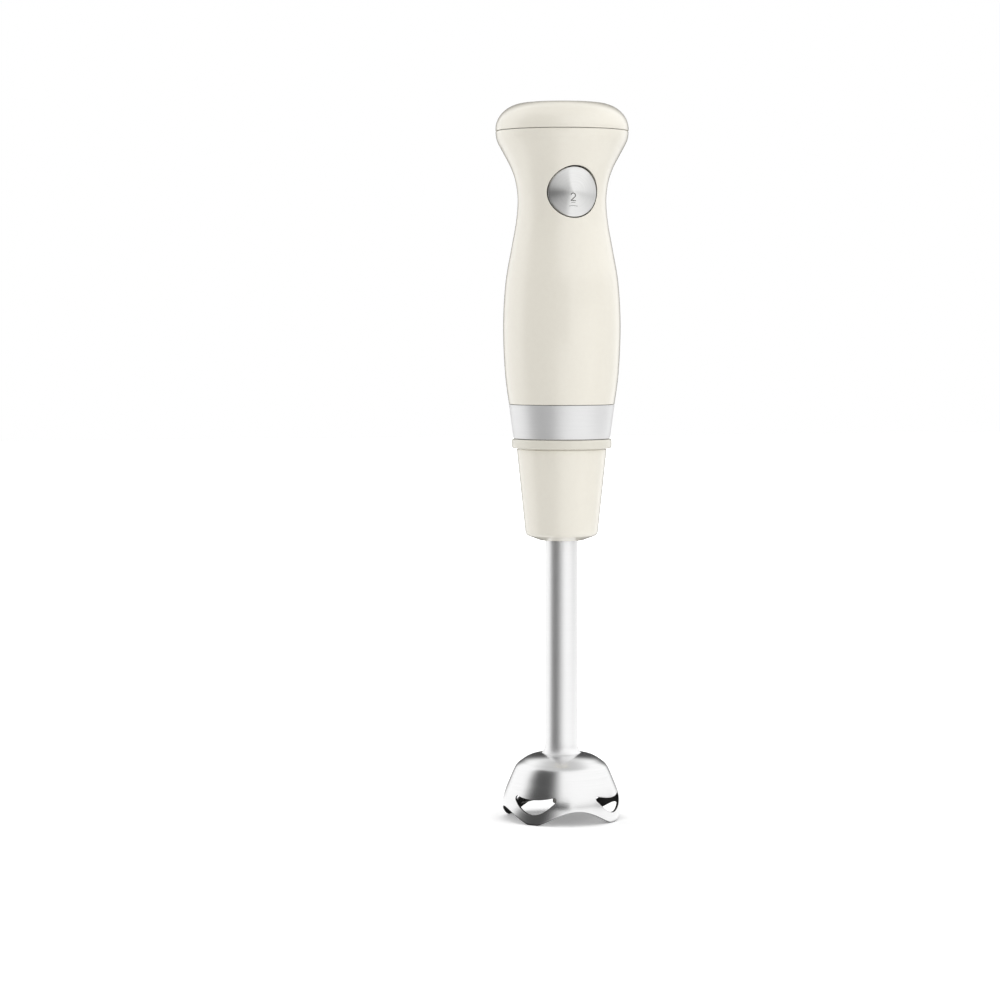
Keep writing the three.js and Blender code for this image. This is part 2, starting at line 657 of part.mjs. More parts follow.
/** Saddle that presses the cord against the chassis. */
function makeCordClamp() {
  const [low, high] = [CLAMP_Z - CLAMP_HALF_HEIGHT, CLAMP_Z + CLAMP_HALF_HEIGHT];
  const block = box([-CLAMP_HALF_WIDTH, CLAMP_Y, low], [CLAMP_HALF_WIDTH, CLAMP_Y + CLAMP_THICKNESS, high]);
  const saddle = ring(0, GLAND_BORE_RADIUS, low - 1, high + 1, SMALL).translate([0, CLAMP_Y, 0]);
  const holes = SIDES.map(([, side]) => (
    rodAlongY(SCREW_RADIUS + SEAM, SCREW_RADIUS + SEAM, 0, OUTLET_REACH, CLAMP_Z, side * CLAMP_SCREW_X, TINY)));
  return cut(block, saddle, ...holes);
}

/** Bush through the outlet's bore, with a nose outside and a lip inside the shell. */
function makeCordGland() {
  const lip = 2.5;
  const flange = 1.6;
  const wall = radiusAt(shellOutside, OUTLET_Z - GLAND_LIP_RADIUS) - SHELL_WALL;
  const lipEnd = Math.sqrt(wall ** 2 - GLAND_LIP_RADIUS ** 2) - SEAM;
  const noseStart = OUTLET_REACH - GLAND_NOSE;
  const outline = [
    point(GLAND_BORE_RADIUS, lipEnd - lip),
    point(GLAND_LIP_RADIUS, lipEnd - lip),
    point(GLAND_LIP_RADIUS, lipEnd),
    point(GLAND_NECK_RADIUS, lipEnd),
    point(GLAND_NECK_RADIUS, noseStart),
    point(GLAND_NECK_RADIUS + flange, noseStart),
    point(GLAND_NECK_RADIUS + 0.75 * flange, noseStart + 0.7 * GLAND_NOSE),
    point(GLAND_BORE_RADIUS + 1, OUTLET_REACH),
    point(GLAND_BORE_RADIUS, OUTLET_REACH),
  ];
  return solidOf(turnedGeometry(outline, SMALL).rotateX(-Math.PI / 2).translate(0, 0, OUTLET_Z));
}

/** Depth of the shell's surface at the button, as a y coordinate, at an offset from its centre. */
function surfaceY(x, z) {
  const radius = radiusAt(shellOutside, BUTTON_Z + z);
  return -Math.sqrt(radius ** 2 - x ** 2);
}

const BUTTON_CENTRE_Y = surfaceY(0, 0) + BUTTON_DISH;
const BUTTON_WALL = 2.2;
const BUTTON_CEILING_Y = BUTTON_CENTRE_Y + BUTTON_WALL;
const BUTTON_BACK_Y = BUTTON_CEILING_Y + 1.8;
const PIVOT_Y = BUTTON_CEILING_Y + BUTTON_PIN_RADIUS + 1.2;
const BOSS_RADIUS = 1.3;
const BOSS_Y = BUTTON_CEILING_Y + 1.6;
const SWITCH_FRONT_Y = BUTTON_BACK_Y + 2.8;
const BRACKET_Y = SWITCH_FRONT_Y + SWITCH_SIZE.y + SEAM;
const EAR_RADIUS = PIVOT_Y - BUTTON_CEILING_Y - SEAM;
const PIN_BORE = BUTTON_PIN_RADIUS + RUNNING;
const EAR_INNER_X = 3;
const EAR_OUTER_X = 5.5;

/** The button's disc: its rim lies flush with the shell and its face sinks to the middle. */
function makeButtonDisc() {
  const sides = ROUND;
  const rings = [0, 0.5, 1];
  const positions = [];
  const triangles = [];
  const corner = (row, i) => row * sides + (i % sides);
  rings.forEach((share) => {
    for (let i = 0; i < sides; i += 1) {
      const angle = (2 * Math.PI * i) / sides;
      const [x, z] = [BUTTON_RADIUS * Math.cos(angle), BUTTON_RADIUS * Math.sin(angle)];
      const y = THREE.MathUtils.lerp(BUTTON_CENTRE_Y, surfaceY(x, z), share ** 2);
      positions.push(x * share, y, BUTTON_Z + z * share);
    }
  });
  [1, 0].forEach((share) => {
    for (let i = 0; i < sides; i += 1) {
      const angle = (2 * Math.PI * i) / sides;
      const [x, z] = [BUTTON_RADIUS * Math.cos(angle), BUTTON_RADIUS * Math.sin(angle)];
      positions.push(x * share, BUTTON_BACK_Y, BUTTON_Z + z * share);
    }
  });
  for (let row = 0; row < rings.length + 1; row += 1) {
    for (let i = 0; i < sides; i += 1) {
      triangles.push(corner(row, i), corner(row + 1, i), corner(row + 1, i + 1));
      triangles.push(corner(row, i), corner(row + 1, i + 1), corner(row, i + 1));
    }
  }
  const geometry = new THREE.BufferGeometry();
  geometry.setAttribute('position', new THREE.Float32BufferAttribute(positions, 3));
  geometry.setIndex(triangles);
  return solidOf(geometry);
}

/** Rocking button: the dished disc with a pivot lug and a boss over each plunger. */
function makeSpeedButton() {
  const skirt = 2.6;
  const hollowRadius = BUTTON_RADIUS - skirt;
  const root = BUTTON_CEILING_Y - 0.5;
  const hollow = rodAlongY(hollowRadius, hollowRadius, BUTTON_CEILING_Y, 0, BUTTON_Z, 0, ROUND);
  const lugHalf = EAR_INNER_X - SEAM;
  const lug = box(
    [-lugHalf, root, BUTTON_Z - EAR_RADIUS],
    [lugHalf, PIVOT_Y + EAR_RADIUS, BUTTON_Z + EAR_RADIUS],
  );
  const bosses = [-1, 1].map((side) => (
    rodAlongY(BOSS_RADIUS, BOSS_RADIUS, root, BOSS_Y, BUTTON_Z + side * SWITCH_SPACING, 0, TINY)));
  const body = joined(makeButtonDisc().subtract(hollow), lug, ...bosses);
  return cut(body, pivotRod(PIN_BORE, lugHalf + 1));
}

/** A rod along X on the button's pivot. */
function pivotRod(radius, halfLength) {
  const rod = new THREE.CylinderGeometry(radius, radius, 2 * halfLength, SMALL).rotateZ(Math.PI / 2);
  return solidOf(rod.translate(0, PIVOT_Y, BUTTON_Z));
}

/** Carrier of both switches, with two ears for the button's pin and arms back to the chassis. */
function makeSwitchBracket() {
  const thickness = 2;
  const halfWidth = 8;
  const halfArm = 2;
  const halfHeight = SWITCH_SPACING + SWITCH_SIZE.z / 2;
  const back = BRACKET_Y + thickness;
  const plate = box([-halfWidth, BRACKET_Y, BUTTON_Z - halfHeight], [halfWidth, back, BUTTON_Z + halfHeight]);
  const ears = SIDES.flatMap(([, side]) => {
    const [low, high] = [side * EAR_INNER_X, side * EAR_OUTER_X].sort((a, b) => a - b);
    const tip = new THREE.CylinderGeometry(EAR_RADIUS, EAR_RADIUS, high - low, SMALL).rotateZ(Math.PI / 2);
    tip.translate((low + high) / 2, PIVOT_Y, BUTTON_Z);
    return [box([low, PIVOT_Y, BUTTON_Z - EAR_RADIUS], [high, back, BUTTON_Z + EAR_RADIUS]), solidOf(tip)];
  });
  const arms = SIDES.flatMap(([, side]) => [-1, 1].map((level) => {
    const [low, high] = [side * EAR_OUTER_X, side * halfWidth].sort((a, b) => a - b);
    const middle = BUTTON_Z + level * SWITCH_SPACING;
    return box([low, BRACKET_Y, middle - halfArm], [high, PLATE_Y - SEAM, middle + halfArm]);
  }));
  return cut(joined(plate, ...ears, ...arms), pivotRod(PIN_BORE, EAR_OUTER_X + 1));
}

/** Microswitch body with the plunger's bore, below the pivot or above it. */
function makeMicroswitch(side) {
  const boreDepth = 4;
  const middle = BUTTON_Z + side * SWITCH_SPACING;
  const half = SWITCH_SIZE.clone().multiplyScalar(0.5);
  const body = box(
    [-half.x, SWITCH_FRONT_Y, middle - half.z],
    [half.x, SWITCH_FRONT_Y + SWITCH_SIZE.y, middle + half.z],
  );
  const bore = PLUNGER_RADIUS + RUNNING;
  return cut(body, rodAlongY(bore, bore, SWITCH_FRONT_Y - 1, SWITCH_FRONT_Y + boreDepth, middle, 0, TINY));
}

function makePlunger(side) {
  const inSwitch = 3;
  const middle = BUTTON_Z + side * SWITCH_SPACING;
  return rodAlongY(PLUNGER_RADIUS, PLUNGER_RADIUS, BOSS_Y + SEAM, SWITCH_FRONT_Y + inSwitch, middle, 0, TINY);
}

// ---------------------------------------------------------------------------------------------
// Blending foot
// ---------------------------------------------------------------------------------------------

/** Flange and cone of the collar, hollow around the collar core. */
function makeFootCollar() {
  const edge = 1;
  const lipDepth = 3;
  const flangeFoot = PARTING_Z - FLANGE_HEIGHT;
  const coneFoot = COLLAR_FOOT_Z + 6;
  const wallFoot = COLLAR_FOOT_RADIUS - COLLAR_WALL;
  const outside = [
    point(TUBE_RADIUS + SLIDING, COLLAR_FOOT_Z),
    point(COLLAR_FOOT_RADIUS - 5, COLLAR_FOOT_Z + 0.9),
    point(COLLAR_FOOT_RADIUS - 1.8, COLLAR_FOOT_Z + 2.4),
    point(COLLAR_FOOT_RADIUS, coneFoot),
    point(COLLAR_TOP_RADIUS, flangeFoot),
    point(FLANGE_RADIUS - edge, flangeFoot),
    point(FLANGE_RADIUS, flangeFoot + edge),
    point(FLANGE_RADIUS, PARTING_Z - edge),
    point(FLANGE_RADIUS - edge, PARTING_Z),
  ];
  const lip = SPIGOT_RADIUS + SEAM;
  const inside = [
    point(lip, PARTING_Z),
    point(lip, PARTING_Z - lipDepth),
    point(COLLAR_TOP_RADIUS - COLLAR_WALL, PARTING_Z - lipDepth),
    point(COLLAR_TOP_RADIUS - COLLAR_WALL, flangeFoot),
    point(wallFoot, coneFoot + 1),
    point(wallFoot - 1.8, COLLAR_FOOT_Z + 4),
    point(TUBE_RADIUS + SLIDING, COLLAR_FOOT_Z + COLLAR_WALL),
  ];
  return turned([...outside, ...inside]);
}

const SHAFT_CLEAR = DRIVE_SHAFT_RADIUS + RUNNING;
const UPPER_BUSH_RADIUS = SHAFT_CLEAR + 2.45;
const LOWER_BUSH_RADIUS = SHAFT_CLEAR + 1.15;

/** Inner core of the foot: the spigot above, the tube's seat below and the bush web between. */
function makeCollarCore() {
  const chamfer = 0.8;
  const well = COUPLING_RADIUS + 1.7;
  const tubeSeat = TUBE_RADIUS + SEAM;
  const seatOuter = tubeSeat + 3.6;
  const webBore = UPPER_BUSH_RADIUS + SEAM;
  const foot = COLLAR_FOOT_Z + 7.5;
  const webTop = WEB_Z + WEB_THICKNESS;
  const body = turned([
    point(well, SPIGOT_TOP_Z),
    point(SPIGOT_RADIUS - chamfer, SPIGOT_TOP_Z),
    point(SPIGOT_RADIUS, SPIGOT_TOP_Z - chamfer),
    point(SPIGOT_RADIUS, CLIP_Z + CLIP_HEIGHT + SEAM),
    point(SPIGOT_RADIUS - GROOVE_DEPTH, CLIP_Z + CLIP_HEIGHT + SEAM),
    point(SPIGOT_RADIUS - GROOVE_DEPTH, CLIP_Z - SEAM),
    point(SPIGOT_RADIUS, CLIP_Z - SEAM),
    point(SPIGOT_RADIUS, PARTING_Z - 17),
    point(seatOuter, PARTING_Z - 27),
    point(seatOuter, foot),
    point(tubeSeat, foot),
    point(tubeSeat, WEB_Z),
    point(webBore, WEB_Z),
    point(webBore, webTop),
    point(well, webTop),
  ], INNER);
  const reach = SPIGOT_RADIUS + KEY_DEPTH;
  const keys = SIDES.map(([, side]) => {
    const [low, high] = [side * (SPIGOT_RADIUS - 2), side * reach].sort((a, b) => a - b);
    return box([low, -KEY_WIDTH / 2, CLIP_Z + CLIP_HEIGHT + 2], [high, KEY_WIDTH / 2, SPIGOT_TOP_Z - 1.5]);
  });
  return joined(body, ...keys);
}

/** Tube with a flared foot that sits on the bell. */
function makeShaftTube() {
  const flareTop = BELL_HEIGHT + SEAM + TUBE_FLARE_HEIGHT;
  const outside = new THREE.Path();
  outside.moveTo(TUBE_FLARE_RADIUS, BELL_HEIGHT + SEAM);
  outside.quadraticCurveTo(TUBE_RADIUS, BELL_HEIGHT + SEAM + 0.2 * TUBE_FLARE_HEIGHT, TUBE_RADIUS, flareTop);
  outside.lineTo(TUBE_RADIUS, TUBE_TOP_Z);
  const inner = TUBE_RADIUS - TUBE_WALL;
  return turned([...outside.getPoints(4), point(inner, TUBE_TOP_Z), point(inner, BELL_HEIGHT + SEAM)], INNER);
}

const BELL_SCALE = BELL_HEIGHT / 37;

/** The bell's outside, from the rim over the shoulder to the neck. */
function bellOutline() {
  return [
    [0, 0],
    [-0.3, 9.2],
    [-1.9, 16],
    [-4.5, 22.6],
    [-7.6, 29.5],
    [-11.3, 33],
    [-16.3, 36],
  ].map(([step, height]) => point(BELL_RIM_RADIUS + step, height * BELL_SCALE));
}

/** Height of the rim's arch at an angle about the drive axis: 0 at the four feet on the diagonals. */
function archLift(angle) {
  const wave = Math.cos(2 * angle) ** 2;
  return wave < 0.1 ? 0 : BELL_ARCH_HEIGHT * wave ** 0.8;
}

/** Crescent slot outline: x along the rim, y up. */
function slotShape() {
  const round = 1.6;
  const end = BELL_SLOT_WIDTH / 2 - round;
  const endZ = 13.9 * BELL_SCALE;
  const slot = new THREE.Shape();
  slot.moveTo(-end, endZ + round);
  slot.quadraticCurveTo(0, 12.5 * BELL_SCALE, end, endZ + round);
  slot.absarc(end, endZ, round, Math.PI / 2, -Math.PI / 6, true);
  slot.quadraticCurveTo(0, -1.6 * BELL_SCALE, -end - round * Math.cos(Math.PI / 6), endZ - round / 2);
  slot.absarc(-end, endZ, round, (7 * Math.PI) / 6, Math.PI / 2, true);
  return slot;
}

/** Blade bell: the arched rim, the crescent slots and the roof around the tube. */
function makeBladeBell() {
  const outside = [...bellOutline(), point(TUBE_RADIUS - TUBE_WALL, BELL_HEIGHT)];
  const inside = inset(outside, BELL_WALL).reverse();
  inside[0].x = outside.at(-1).x;
  const skirt = bellOutline()[1].y;
  const geometry = turnedGeometry([...outside, ...inside], BELL_SIDES);
  const places = geometry.attributes.position;
  for (let i = 0; i < places.count; i += 1) {
    const height = places.getZ(i);
    if (height < skirt / 2) places.setZ(i, archLift(Math.atan2(places.getY(i), places.getX(i))));
  }
  const slots = Array.from({ length: BELL_SLOT_COUNT }, (_, i) => {
    const tool = new THREE.ExtrudeGeometry(slotShape(), { depth: 20, bevelEnabled: false, curveSegments: 3 });
    tool.rotateX(Math.PI / 2).translate(0, BELL_RIM_RADIUS + 4, 0);
    return solidOf(tool.rotateZ((2 * Math.PI * (i + 0.5)) / BELL_SLOT_COUNT));
  });
  return cut(solidOf(geometry), ...slots);
}

const SEAL_RADIUS = TUBE_RADIUS - TUBE_WALL - 2 * SEAM - 0.8;

/** Housing in the tube's foot that carries the lower bush and the seal under the bell's roof. */
function makeBearingHousing() {
  const edge = 2.5;
  const bushSeat = LOWER_BUSH_RADIUS + SEAM;
  const inTube = TUBE_RADIUS - TUBE_WALL - SEAM;
  const roof = BELL_HEIGHT - BELL_WALL - SEAM;
  const pocket = HOUSING_Z + SEAL_POCKET;
  return turned([
    point(bushSeat, HOUSING_TOP_Z),
    point(inTube, HOUSING_TOP_Z),
    point(inTube, roof),
    point(inTube + edge, roof),
    point(inTube + edge, HOUSING_Z + edge),
    point(inTube + 1, HOUSING_Z),
    point(SEAL_RADIUS + SEAM, HOUSING_Z),
    point(SEAL_RADIUS + SEAM, pocket),
    point(bushSeat, pocket),
  ], INNER);
}

/** Shaft from the coupling down to the thread for the blade's nut. */
function makeDriveShaft() {
  const tip = BLADE_HEIGHT - NUT_HEIGHT - 1.4;
  return turned([
    point(0, tip),
    point(THREAD_RADIUS, tip),
    point(THREAD_RADIUS, SHOULDER_Z),
    point(DRIVE_SHAFT_RADIUS, SHOULDER_Z),
    point(DRIVE_SHAFT_RADIUS, COUPLING_Z + COUPLING_FLOOR),
    point(0, COUPLING_Z + COUPLING_FLOOR),
  ], SMALL);
}

/** Cup on the shaft's top with the hexagonal socket for the drive dog. */
function makeDrivenCoupling() {
  const body = ring(0, COUPLING_RADIUS, COUPLING_Z, DOG_HUB_Z - SLIDING, INNER);
  const socket = raised(polygon(HEX_RADIUS + SLIDING, 6), COUPLING_Z + COUPLING_FLOOR, SPIGOT_TOP_Z);
  return cut(body, socket, ring(0, SHAFT_CLEAR, COUPLING_Z - 1, COUPLING_Z + COUPLING_FLOOR + 1, SMALL));
}

const BLADE_ROOT = 5.2;
const BLADE_BEND_X = 11;

/** One wing of the blade on the +X side, bent up by an angle at its root. */
function makeWing(bend) {
  const reach = BLADE_TIP_RADIUS - BLADE_BEND_X;
  const outline = new THREE.Shape();
  outline.moveTo(-1, -BLADE_ROOT);
  outline.quadraticCurveTo(0.7 * reach, -0.6 * BLADE_ROOT, reach, 0.3 * BLADE_ROOT);
  outline.lineTo(-1, BLADE_ROOT);
  const settings = { depth: BLADE_THICKNESS, bevelEnabled: false, curveSegments: 4 };
  const wing = new THREE.ExtrudeGeometry(outline, settings);
  return solidOf(wing.rotateY(-bend).translate(BLADE_BEND_X, 0, BLADE_HEIGHT));
}

/** Two-winged blade, one tip bent up and the other down, on a short hub. */
function makeBlade() {
  const bend = 0.26;
  const middle = box(
    [-BLADE_BEND_X, -BLADE_ROOT, BLADE_HEIGHT],
    [BLADE_BEND_X, BLADE_ROOT, BLADE_HEIGHT + BLADE_THICKNESS],
  );
  const hub = ring(0, BLADE_ROOT - 0.4, BLADE_HEIGHT, SHOULDER_Z - SEAM, SMALL);
  const blade = joined(middle, makeWing(bend), makeWing(-bend).rotate([0, 0, 180]), hub);
  return cut(blade, ring(0, THREAD_RADIUS + SEAM, 0, SHOULDER_Z + 1, SMALL));
}

function makeBladeNut() {
  const top = BLADE_HEIGHT - SEAM;
  const hexagon = raised(polygon(NUT_RADIUS, 6), top - NUT_HEIGHT, top);
  return cut(hexagon, ring(0, THREAD_RADIUS + SEAM, 0, BLADE_HEIGHT, SMALL));
}

// ---------------------------------------------------------------------------------------------
// Assembly
// ---------------------------------------------------------------------------------------------

const blender = new THREE.Group();
blender.position.set(0, DRIVE_AXIS_Y, 0);

const handle = new THREE.Group();
addPiece(handle, 'handle_shell', makeHandleShell(), CREAM);
addPiece(handle, 'top_cap', makeTopCap(), CREAM);
addPiece(handle, 'trim_band', makeTrimBand(), BRUSHED);
addPiece(handle, 'coupling_socket', makeCouplingSocket(), DARK_PLASTIC);
addPiece(handle, 'retaining_clip', makeRetainingClip(), ZINC);
const damper = ring(HUB_RADIUS + 2.5, MOTOR_RADIUS - SEAM, DAMPER_Z, MOTOR_Z - SEAM, INNER);
addPiece(handle, 'damper_ring', damper, RUBBER);
addPiece(handle, 'motor_yoke', makeMotorYoke(), ZINC);
addPiece(handle, 'motor_end_bell', makeEndBell(), DARK_PLASTIC);
const lowerBearing = ring(SHAFT_BORE, BEARING_RADIUS, MOTOR_Z - MOTOR_NECK, MOTOR_Z + YOKE_WALL, SMALL);
addPiece(handle, 'lower_motor_bearing', lowerBearing, BRONZE);
const endBellTop = END_BELL_Z + END_BELL_THICKNESS + END_BELL_HUB;
const upperBearing = ring(SHAFT_BORE, BEARING_RADIUS, END_BELL_Z + 1, endBellTop, SMALL);
addPiece(handle, 'upper_motor_bearing', upperBearing, BRONZE);
SIDES.forEach(([name, side]) => {
  const turn = side > 0 ? 0 : Math.PI;
  addPiece(handle, `magnet_${name}`, makeMagnet(), FERRITE).rotation.z = turn;
  addPiece(handle, `brush_holder_${name}`, makeBrushHolder(), BRONZE).rotation.z = turn;
  addPiece(handle, `brush_${name}`, makeBrush(), CARBON).rotation.z = turn;
  addPiece(handle, `brush_spring_${name}`, makeBrushSpring(), ZINC).rotation.z = turn;
});

addPiece(handle, 'chassis', makeChassis(), DARK_PLASTIC);
[['front', -1], ['rear', 1]].forEach(([name, side]) => {
  const seat = CHASSIS_Z + CHASSIS_THICKNESS + SEAM;
  addPiece(handle, `chassis_screw_${name}`, makeScrew(4.6), ZINC).position.set(0, side * SCREW_CIRCLE, seat);
});
const boardHalfWidth = PLATE_HALF_WIDTH - 2;
const boardBack = CLAMP_Y + 1.6;
const boardLow = DECK_Z + DECK_THICKNESS + SEAM;
const boardHigh = CLAMP_Z - CLAMP_HALF_HEIGHT - 1;
const board = box([-boardHalfWidth, CLAMP_Y, boardLow], [boardHalfWidth, boardBack, boardHigh]);
addPiece(handle, 'circuit_board', board, BOARD);
const capacitorRadius = 0.2 * (WAIST_RADIUS - SHELL_WALL);
const capacitor = ring(0, capacitorRadius, boardLow + 4, boardHigh - 5, SMALL);
addPiece(handle, 'capacitor', capacitor, COPPER).position.y = boardBack + SEAM + capacitorRadius;
addPiece(handle, 'switch_bracket', makeSwitchBracket(), DARK_PLASTIC);
addPiece(handle, 'button_pin', pivotRod(BUTTON_PIN_RADIUS, EAR_OUTER_X), ZINC);
[['lower', -1], ['upper', 1]].forEach(([name, side]) => {
  addPiece(handle, `${name}_microswitch`, makeMicroswitch(side), DARK_PLASTIC);
});
addPiece(handle, 'cord_gland', makeCordGland(), RUBBER);
addPiece(handle, 'cord_clamp', makeCordClamp(), DARK_PLASTIC);
SIDES.forEach(([name, side]) => {
  const screw = addPiece(handle, `clamp_screw_${name}`, makeScrew(CLAMP_THICKNESS + PLATE_THICKNESS), ZINC);
  screw.position.set(side * CLAMP_SCREW_X, CLAMP_Y + CLAMP_THICKNESS + SEAM, CLAMP_Z);
  screw.rotation.x = -Math.PI / 2;
});

const rotor = new THREE.Group();
const motorShaft = ring(0, MOTOR_SHAFT_RADIUS, DOG_Z + DOG_FLOOR + SEAM, FAN_Z + FAN_HEIGHT, SMALL);
addPiece(rotor, 'motor_shaft', motorShaft, ZINC);
addPiece(rotor, 'armature_core', makeArmatureCore(), FERRITE);
addPiece(rotor, 'lower_winding', makeWinding(CORE_Z - SEAM - WINDING_HEIGHT, CORE_Z - SEAM), COPPER);
const upperWindingZ = CORE_Z + CORE_LENGTH + SEAM;
addPiece(rotor, 'upper_winding', makeWinding(upperWindingZ, COMMUTATOR_Z - SEAM), COPPER);
const commutator = ring(SHAFT_BORE, COMMUTATOR_RADIUS, COMMUTATOR_Z, COMMUTATOR_Z + COMMUTATOR_HEIGHT, SMALL);
addPiece(rotor, 'commutator', commutator, COPPER);
addPiece(rotor, 'cooling_fan', makeCoolingFan(), DARK_PLASTIC);
addPiece(rotor, 'drive_dog', makeDriveDog(), DARK_PLASTIC);

const button = new THREE.Group();
addPiece(button, 'speed_button', makeSpeedButton(), BRUSHED);
addPiece(button, 'lower_plunger', makePlunger(-1), DARK_PLASTIC);
addPiece(button, 'upper_plunger', makePlunger(1), DARK_PLASTIC);

const foot = new THREE.Group();
addPiece(foot, 'foot_collar', makeFootCollar(), CREAM);
addPiece(foot, 'collar_core', makeCollarCore(), DARK_PLASTIC);
addPiece(foot, 'shaft_tube', makeShaftTube(), POLISHED);
addPiece(foot, 'blade_bell', makeBladeBell(), POLISHED);
addPiece(foot, 'upper_bush', ring(SHAFT_CLEAR, UPPER_BUSH_RADIUS, WEB_Z, WEB_Z + WEB_THICKNESS, SMALL), BRONZE);
const lowerBushZ = BELL_HEIGHT + 3;
addPiece(foot, 'lower_bush', ring(SHAFT_CLEAR, LOWER_BUSH_RADIUS, lowerBushZ, HOUSING_TOP_Z, SMALL), BRONZE);
addPiece(foot, 'bearing_housing', makeBearingHousing(), DARK_PLASTIC);
const seal = ring(SHAFT_CLEAR, SEAL_RADIUS, HOUSING_Z + SEAM, HOUSING_Z + SEAL_POCKET - SEAM, SMALL);
addPiece(foot, 'shaft_seal', seal, RUBBER);

const bladeDrive = new THREE.Group();
addPiece(bladeDrive, 'drive_shaft', makeDriveShaft(), ZINC);
addPiece(bladeDrive, 'driven_coupling', makeDrivenCoupling(), DARK_PLASTIC);
const retainer = ring(SHAFT_CLEAR, SHAFT_CLEAR + 2, COUPLING_Z - 1.4, COUPLING_Z - 0.4, SMALL);
addPiece(bladeDrive, 'retaining_ring', retainer, ZINC);
addPiece(bladeDrive, 'blade', makeBlade(), POLISHED);
addPiece(bladeDrive, 'blade_nut', makeBladeNut(), ZINC);

blender.add(handle, rotor, button, foot, bladeDrive);

export default blender;
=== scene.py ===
"""Immersion blender with a detachable foot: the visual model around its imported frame.

All lengths are in metres and every piece is built in the row frame: +Z up, the floor at 0,
the speed button facing -Y and the cord outlet facing +Y.
"""

import logging
import math
from bisect import bisect_left
from collections.abc import Callable, Iterable, Sequence
from dataclasses import dataclass
from enum import Enum
from functools import cached_property
from typing import ClassVar

import bmesh
import bpy
from mathutils import Matrix, Vector


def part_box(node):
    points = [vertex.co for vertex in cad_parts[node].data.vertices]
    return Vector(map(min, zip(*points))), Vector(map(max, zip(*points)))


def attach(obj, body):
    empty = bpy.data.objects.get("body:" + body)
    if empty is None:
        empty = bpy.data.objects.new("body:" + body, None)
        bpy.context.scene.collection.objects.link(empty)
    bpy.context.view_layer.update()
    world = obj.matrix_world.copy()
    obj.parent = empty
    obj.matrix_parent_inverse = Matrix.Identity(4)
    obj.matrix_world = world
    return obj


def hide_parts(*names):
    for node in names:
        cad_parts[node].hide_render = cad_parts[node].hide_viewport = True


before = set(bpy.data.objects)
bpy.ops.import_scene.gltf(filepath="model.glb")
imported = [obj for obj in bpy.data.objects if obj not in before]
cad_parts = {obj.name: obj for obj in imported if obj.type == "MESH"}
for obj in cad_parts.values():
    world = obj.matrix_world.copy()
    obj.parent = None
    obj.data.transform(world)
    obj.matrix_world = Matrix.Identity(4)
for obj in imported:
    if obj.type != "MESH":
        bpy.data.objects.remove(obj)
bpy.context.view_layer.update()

LOG = logging.getLogger("blender_part")
MM = 0.001

Point2 = tuple[float, float]
Point3 = tuple[float, float, float]
Colour = tuple[float, float, float]
Curve = Callable[[float], Point2]

AXIS_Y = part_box("foot_collar")[0].y / 2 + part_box("foot_collar")[1].y / 2
BLACK: Colour = (0.0, 0.0, 0.0)
WHITE: Colour = (1.0, 1.0, 1.0)


# Node trees written as expressions


class Value:
    """An output socket of a node tree; arithmetic on it adds Math nodes."""

    def __init__(self, tree: "Tree", socket: bpy.types.NodeSocket | None) -> None:
        """Wraps a socket of a tree."""
        self.tree = tree
        self.socket = socket

    def _math(self, operation: str, *inputs: "Value | float") -> "Value":
        """Adds one Math node."""
        return self.tree.node("ShaderNodeMath", {"operation": operation}, inputs)

    def __add__(self, other: "Value | float") -> "Value":
        """self + other"""
        return self._math("ADD", self, other)

    def __radd__(self, other: float) -> "Value":
        """other + self"""
        return self._math("ADD", other, self)

    def __sub__(self, other: "Value | float") -> "Value":
        """self - other"""
        return self._math("SUBTRACT", self, other)

    def __rsub__(self, other: float) -> "Value":
        """other - self"""
        return self._math("SUBTRACT", other, self)

    def __mul__(self, other: "Value | float") -> "Value":
        """self * other"""
        return self._math("MULTIPLY", self, other)

    def __rmul__(self, other: float) -> "Value":
        """other * self"""
        return self._math("MULTIPLY", other, self)

    def __truediv__(self, other: "Value | float") -> "Value":
        """self / other"""
        return self._math("DIVIDE", self, other)

    def __rtruediv__(self, other: float) -> "Value":
        """other / self"""
        return self._math("DIVIDE", other, self)

    def maximum(self, other: "Value | float") -> "Value":
        """The greater of two values."""
        return self._math("MAXIMUM", self, other)

    def angle_to(self, other: "Value") -> "Value":
        """The angle whose tangent is self / other."""
        return self._math("ARCTAN2", self, other)

    def root(self) -> "Value":
        """Square root."""
        return self._math("SQRT", self)

    def wave(self) -> "Value":
        """Sine."""
        return self._math("SINE", self)

    def between(self, low: float, high: float) -> "Value":
        """self remapped from low..high to 0..1, clamped and smooth."""
        settings = {"interpolation_type": "SMOOTHSTEP"}
        return self.tree.node("ShaderNodeMapRange", settings, {0: self, 1: low, 2: high})


